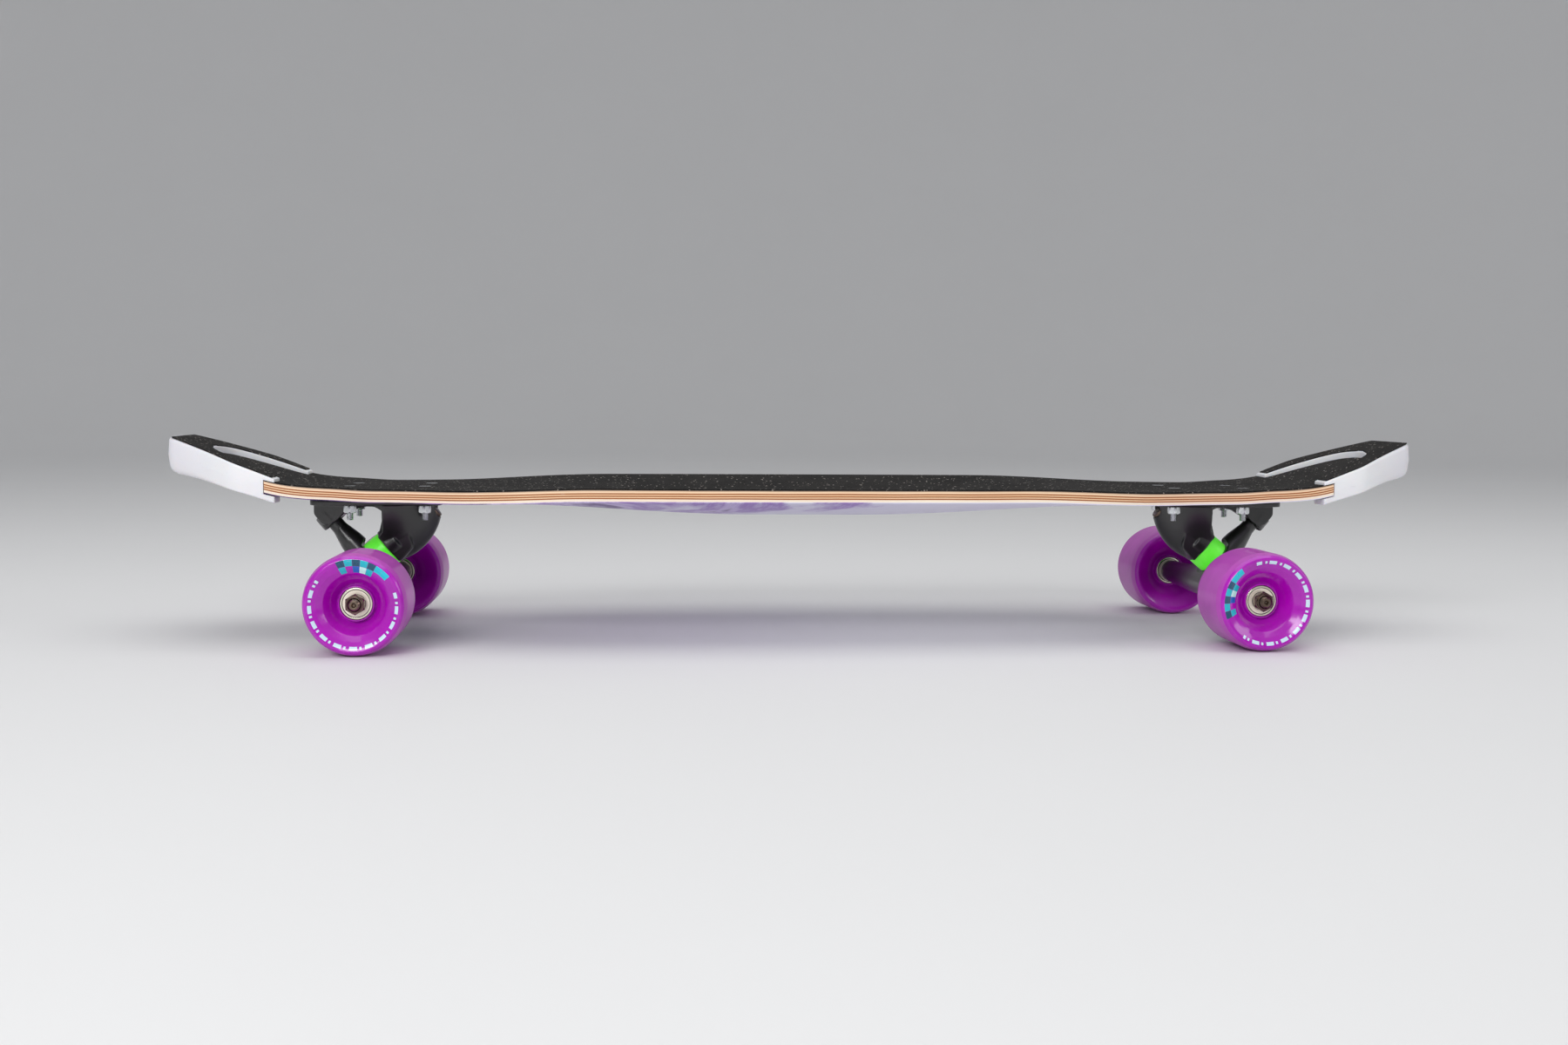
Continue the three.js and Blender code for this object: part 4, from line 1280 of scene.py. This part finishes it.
def print_masks(tree, radius, turn):
    """The printed band's colour and its mask."""
    start = node(tree, "Attribute", attribute_name="print_start").outputs["Fac"]
    place = calc(tree, "FRACT", calc(tree, "ADD", calc(tree, "SUBTRACT", turn, start), 1.0))
    depth = (PRINT["outer"] - PRINT["inner"]) / PRINT["rows"]
    level = calc(tree, "DIVIDE", calc(tree, "SUBTRACT", radius, PRINT["inner"]), depth)
    row = calc(tree, "FLOOR", level)
    column = calc(tree, "MULTIPLY", place, PRINT["columns"])
    cell = node(tree, "CombineXYZ", {0: calc(tree, "FLOOR", column), 1: row, 2: 3.0}).outputs[0]
    chance = node(tree, "TexWhiteNoise", {0: cell}, noise_dimensions="3D").outputs[0]
    square = calc(tree, "MULTIPLY", inside(tree, calc(tree, "FRACT", column), 0.01, 0.99),
                  inside(tree, calc(tree, "FRACT", level), 0.01, 0.99))
    gaps = calc(tree, "MULTIPLY_ADD", row, -0.27, 0.80)
    fade = calc(tree, "ABSOLUTE", calc(tree, "SUBTRACT", place, PRINT["span"] / 2))
    keep = calc(tree, "LESS_THAN", calc(tree, "MULTIPLY_ADD", chance, 0.05, fade), PRINT["span"] / 2)
    band = inside(tree, radius, PRINT["inner"], PRINT["outer"])
    checks = calc(tree, "MULTIPLY", calc(tree, "MULTIPLY", square, band),
                  calc(tree, "MULTIPLY", keep, calc(tree, "GREATER_THAN", chance, gaps)))
    colour = ramp(tree, chance, [
        (0.0, (0.0, 0.58, 0.72, 1)), (0.44, (0.60, 0.93, 0.90, 1)), (0.58, (0.0, 0.08, 0.16, 1)),
        (0.72, (0.0, 0.50, 0.62, 1)), (0.83, (0.0, 0.12, 0.55, 1)), (0.92, (0.60, 0.93, 0.90, 1))],
        "CONSTANT")

    # The rest of the band: long dashes with a dot between them.
    stroke = calc(tree, "FRACT", calc(tree, "MULTIPLY", place, 17.0))
    off_middle = calc(tree, "ABSOLUTE", calc(tree, "SUBTRACT", radius, PRINT["strokes"]))
    dash = calc(tree, "MULTIPLY", inside(tree, stroke, 0.12, 0.62),
                calc(tree, "LESS_THAN", off_middle, 1.2))
    dot = calc(tree, "MULTIPLY", inside(tree, stroke, 0.76, 0.90),
               calc(tree, "LESS_THAN", off_middle, 0.9))
    rest = inside(tree, place, PRINT["span"] + 0.03, 0.97)
    strokes = calc(tree, "MULTIPLY", calc(tree, "MAXIMUM", dash, dot), rest)
    colour = mixed(tree, strokes, colour, (0.62, 0.80, 0.90, 1))
    return colour, calc(tree, "MAXIMUM", checks, strokes)


def make_wheel_urethane():
    material, tree, shader, where = new_material(
        "wheel_urethane", Roughness=0.2, IOR=1.5, Coat_Weight=0.4, Coat_Roughness=0.06,
        Subsurface_Weight=0.18, Subsurface_Radius=(1.0, 0.3, 0.9), Subsurface_Scale=0.004)
    polar = use_group(tree, POLAR, {"Vector": where})
    radius, turn, outward = polar["Radius"], polar["Turn"], polar["Outward"]
    cloud = effect(tree, MOTTLE, where, 40.0, 2.0)
    scuff = effect(tree, SCUFFS, where, 130.0, 0.06)
    fine = effect(tree, GRAIN, where, 1500.0, 1.2)
    dust = effect(tree, DUST, where, 120.0, 0.05)
    tread = calc(tree, "MULTIPLY", calc(tree, "SUBTRACT", radius, 33.3), 1.6, clamp=True)
    face = ramp(tree, cloud, [(0.0, (0.38, 0.0, 0.42, 1)), (1.0, (0.49, 0.0, 0.53, 1))])
    ground = ramp(tree, cloud, [(0.0, (0.42, 0.04, 0.42, 1)), (1.0, (0.54, 0.07, 0.53, 1))])
    base = mixed(tree, tread, face, ground)
    print_colour, print_mask = print_masks(tree, radius, turn)
    outer_face = calc(tree, "GREATER_THAN", outward, WHEEL_OUTER - WHEEL_FACE_DEPTH)
    worn = calc(tree, "SUBTRACT", 1.0, calc(tree, "MULTIPLY", scuff, 0.6))
    printed = calc(tree, "MULTIPLY", calc(tree, "MULTIPLY", print_mask, outer_face), worn)
    base = mixed(tree, printed, base, print_colour)
    base = tinted(tree, base, scuff, 0.12, (0.70, 0.45, 0.72, 1))
    base = mixed(tree, dust, base, (0.55, 0.48, 0.50, 1))
    tree.links.new(base, shader.inputs["Base Color"])
    set_roughness(
        tree, shader, 0.15, (cloud, 0.06), (tread, 0.36), (printed, 0.10), (scuff, 0.12))
    height = calc(tree, "MULTIPLY", fine, calc(tree, "MULTIPLY_ADD", tread, 0.9, 0.06))
    bump(tree, shader, height, 0.25, 0.0003)
    return material


wheel_urethane = make_wheel_urethane()
PRINT_START = {("nose", "right"): 0.83, ("tail", "right"): 0.58,
               ("nose", "left"): 0.22, ("tail", "left"): 0.70}


def wheel_profile():
    return [
        (34.95, 84, 3), (34.95, 122, 4), (33.6, 128, 3), (31.6, 130.35, 1.6), (29, 129.5, 2),
        (25, 127.2, 6), (21, 124, 8), (17, 118.8, 8), (12.9, 112, 1.6), (12, 116.5, 0.4),
        (11.3, 116.5, 0.2), (11.3, 108.9, 0), (8.5, 108.9, 0), (8.5, 98.9, 0), (11.3, 98.9, 0),
        (11.3, 91.3, 0.2), (12, 91.3, 0.4), (12.9, 95.8, 1.6), (17, 89, 8), (21, 83.8, 8),
        (25, 80.4, 6), (29, 77, 2), (31.4, 75.65, 1.6), (33.6, 78, 3)]


print("wheel outline points:", len(filleted(wheel_profile())))

# %% [markdown]
# ### Bearings, spacers, washers, axles and nuts
#
# A shielded bearing has three visible rings: a ground outer race, a pressed shield set a
# little back, and the inner race. The material finds them by their distance from the axle,
# and paints the thin gaps between them near black, as painted shade.

# %% Everything on an axle
def make_bearing_finish():
    material, tree, shader, where = new_material("bearing_rings", IOR=2.5)
    radius = use_group(tree, POLAR, {"Vector": where})["Radius"]
    cloud = effect(tree, MOTTLE, where, 260.0, 2.0)
    scuff = effect(tree, SCUFFS, where, 500.0, 0.08)
    grain = effect(tree, GRAIN, where, 5000.0, 0.5)
    shield = inside(tree, radius, 6.3, 9.3)
    race = mixed(tree, calc(tree, "MULTIPLY", cloud, 0.5), (0.80, 0.75, 0.66, 1), (0.52, 0.46, 0.38, 1))
    cover = mixed(tree, calc(tree, "MULTIPLY", cloud, 0.5), (1.0, 0.93, 0.78, 1), (0.86, 0.76, 0.60, 1))
    base = mixed(tree, shield, race, cover)
    # Painted shade: the thin gaps between the shield and the races are coloured near black, as if in
    # shadow.
    groove = calc(tree, "ADD", inside(tree, radius, 9.1, 9.5), inside(tree, radius, 6.0, 6.5),
                  clamp=True)
    base = mixed(tree, groove, base, (0.06, 0.05, 0.04, 1))
    tree.links.new(tinted(tree, base, scuff, 0.3, grey(0.85)),
                   shader.inputs["Base Color"])
    tree.links.new(calc(tree, "MULTIPLY_ADD", shield, -0.6, 1.0), shader.inputs["Metallic"])
    set_roughness(tree, shader, 0.16, (cloud, 0.12), (shield, 0.14))
    bump(tree, shader, grain, 0.10, 0.00004)
    return material


bearing_finish = make_bearing_finish()


# Distances along an axle are measured from the middle of the truck.
AXLE_BORE = 4.35
BEARING_WIDTH = 7
INNER_BEARING_Y, OUTER_BEARING_Y = 91.6, 109.2
INNER_RING_Y, OUTER_RING_Y = (90.35, 91.25), (116.55, 117.45)
SLEEVE_Y = (98.95, 108.85)
AXLE_NUT = {"flats": 12.6, "bore": 4.3, "low": 117.85, "high": 124.25, "collar": 1.6}


def bearing(low):
    high = low + BEARING_WIDTH
    return turned([
        (AXLE_BORE, low, 0.3), (6.0, low, 0.25), (6.15, low + 0.5, 0), (6.4, low + 0.45, 0.1),
        (9.2, low + 0.35, 0.1), (9.4, low + 0.5, 0), (9.5, low, 0.25), (10.95, low, 0.5),
        (10.95, high, 0.5), (9.5, high, 0.25), (9.4, high - 0.5, 0), (9.2, high - 0.35, 0.1),
        (6.4, high - 0.45, 0.1), (6.15, high - 0.5, 0), (6.0, high, 0.25),
        (AXLE_BORE, high, 0.3)], 80)


def speed_ring(low, high):
    return ring(AXLE_BORE, 6.35, low, high, 0.15, 0.3)


def axle_rod():
    half = [(0, 125.2, 0), (0.7, 125.4, 0), (1.7, 126.9, 0.3), (3.0, 126.9, 0.3), (3.75, 126.1, 0)]
    ridges = thread(3.95, 112, 126, 1.27, 0.45)[::-1]
    upper = half + ridges + [(3.95, 111.5, 0)]
    lower = [(radius, -height, soft) for radius, height, soft in reversed(upper)]
    return turned(upper + lower, 48, ON_AXLE)


axle = axle_rod()
AXLE_PIECES = (
    ("wheel", "tyre", turned(wheel_profile(), 144, arc=6), wheel_urethane, "wheel_urethane", True),
    ("outer_bearing", "outer_race", bearing(OUTER_BEARING_Y), bearing_finish, "bearing_steel", True),
    ("inner_bearing", "inner_race", bearing(INNER_BEARING_Y), bearing_finish, "bearing_steel", True),
    ("spacer", "sleeve", ring(AXLE_BORE, 5.15, *SLEEVE_Y, 0.2, 0.2, 48), bearing_steel,
     "bearing_steel", False),
    ("outer_washer", "outer_speed_ring", speed_ring(*OUTER_RING_Y), bearing_steel,
     "bearing_steel", False),
    ("inner_washer", "inner_speed_ring", speed_ring(*INNER_RING_Y), bearing_steel,
     "bearing_steel", False),
    ("axle_nut", "axle_lock_nut", nut(**AXLE_NUT), dark_steel, "dark_steel", False),
)
for end, sign in ENDS.items():
    finished(f"{end}_axle_rod", copy_of(axle, AT_END[end]), dark_steel,
             f"{end}_truck", [f"{end}_axle"], crease=32)
    for side, other in SIDES.items():
        place = along((sign * AXLE_X, 0, AXLE_Z), (0, other, 0))
        for cad_name, piece_name, bm, material, slot, rolls in AXLE_PIECES:
            name = f"{end}_{side}_{cad_name}"
            body = f"{end}_{side}_roller" if rolls else f"{end}_truck"
            piece = finished(f"{end}_{side}_{piece_name}", copy_of(bm, place), material, body,
                             [name], crease=32)
            if cad_name == "wheel":
                start = piece.data.attributes.new("print_start", "FLOAT", "POINT")
                for item in start.data:
                    item.value = PRINT_START[end, side]
print("pieces on each axle end:", len(AXLE_PIECES))

# %% [markdown]
# ## Floor and light
#
# A pale round floor that sweeps up into a wall, a pale sky and three large soft lights give
# the even light of a product table, the same from every side. The large light overhead makes
# the soft contact shadows under the wheels.

# %% Floor, world and lights
def make_floor():
    """A round floor that sweeps up into a wall, the same from every side."""
    material, tree, shader, where = new_material("floor_paint", Roughness=0.6)
    cloud = effect(tree, MOTTLE, where, 2.0, 0.8)
    tree.links.new(
        ramp(tree, cloud, [(0.0, grey(0.78)), (1.0, grey(0.81))]), shader.inputs["Base Color"])
    flat, sweep, top = 3.6, 3.0, 6.0
    quarter = [math.pi / 2 * i / 24 for i in range(25)]
    line = [(0, 0, 0)] + [(flat + sweep * math.sin(a), sweep * (1 - math.cos(a)), 0) for a in quarter]
    mesh = mesh_from("floor", turned(line + [(flat + sweep, top, 0)], 96))
    mesh.materials.append(material)
    mesh.shade_smooth()
    linked("floor", mesh)


def make_light(name, place, aim, size, power):
    data = bpy.data.lights.new(name, "AREA")
    data.shape = "RECTANGLE"
    data.size, data.size_y = size
    data.energy = power
    light = linked(name, data)
    light.location = place
    light.rotation_euler = (Vector(aim) - Vector(place)).to_track_quat("-Z", "Y").to_euler()


bpy.context.scene.view_settings.view_transform = "Standard"
make_floor()
world = bpy.data.worlds.new("studio")
world.use_nodes = True
world.node_tree.nodes["Background"].inputs[0].default_value = (0.93, 0.94, 0.97, 1)
world.node_tree.nodes["Background"].inputs[1].default_value = 0.5
bpy.context.scene.world = world
make_light("overhead", (0.0, -0.1, 1.9), (0, 0, 0.05), (2.2, 1.6), 13)
make_light("front", (-1.0, -2.2, 1.3), (0, 0, 0.05), (1.6, 1.0), 36)
make_light("side", (2.4, -0.8, 1.1), (0.2, 0, 0.05), (1.2, 1.0), 9)
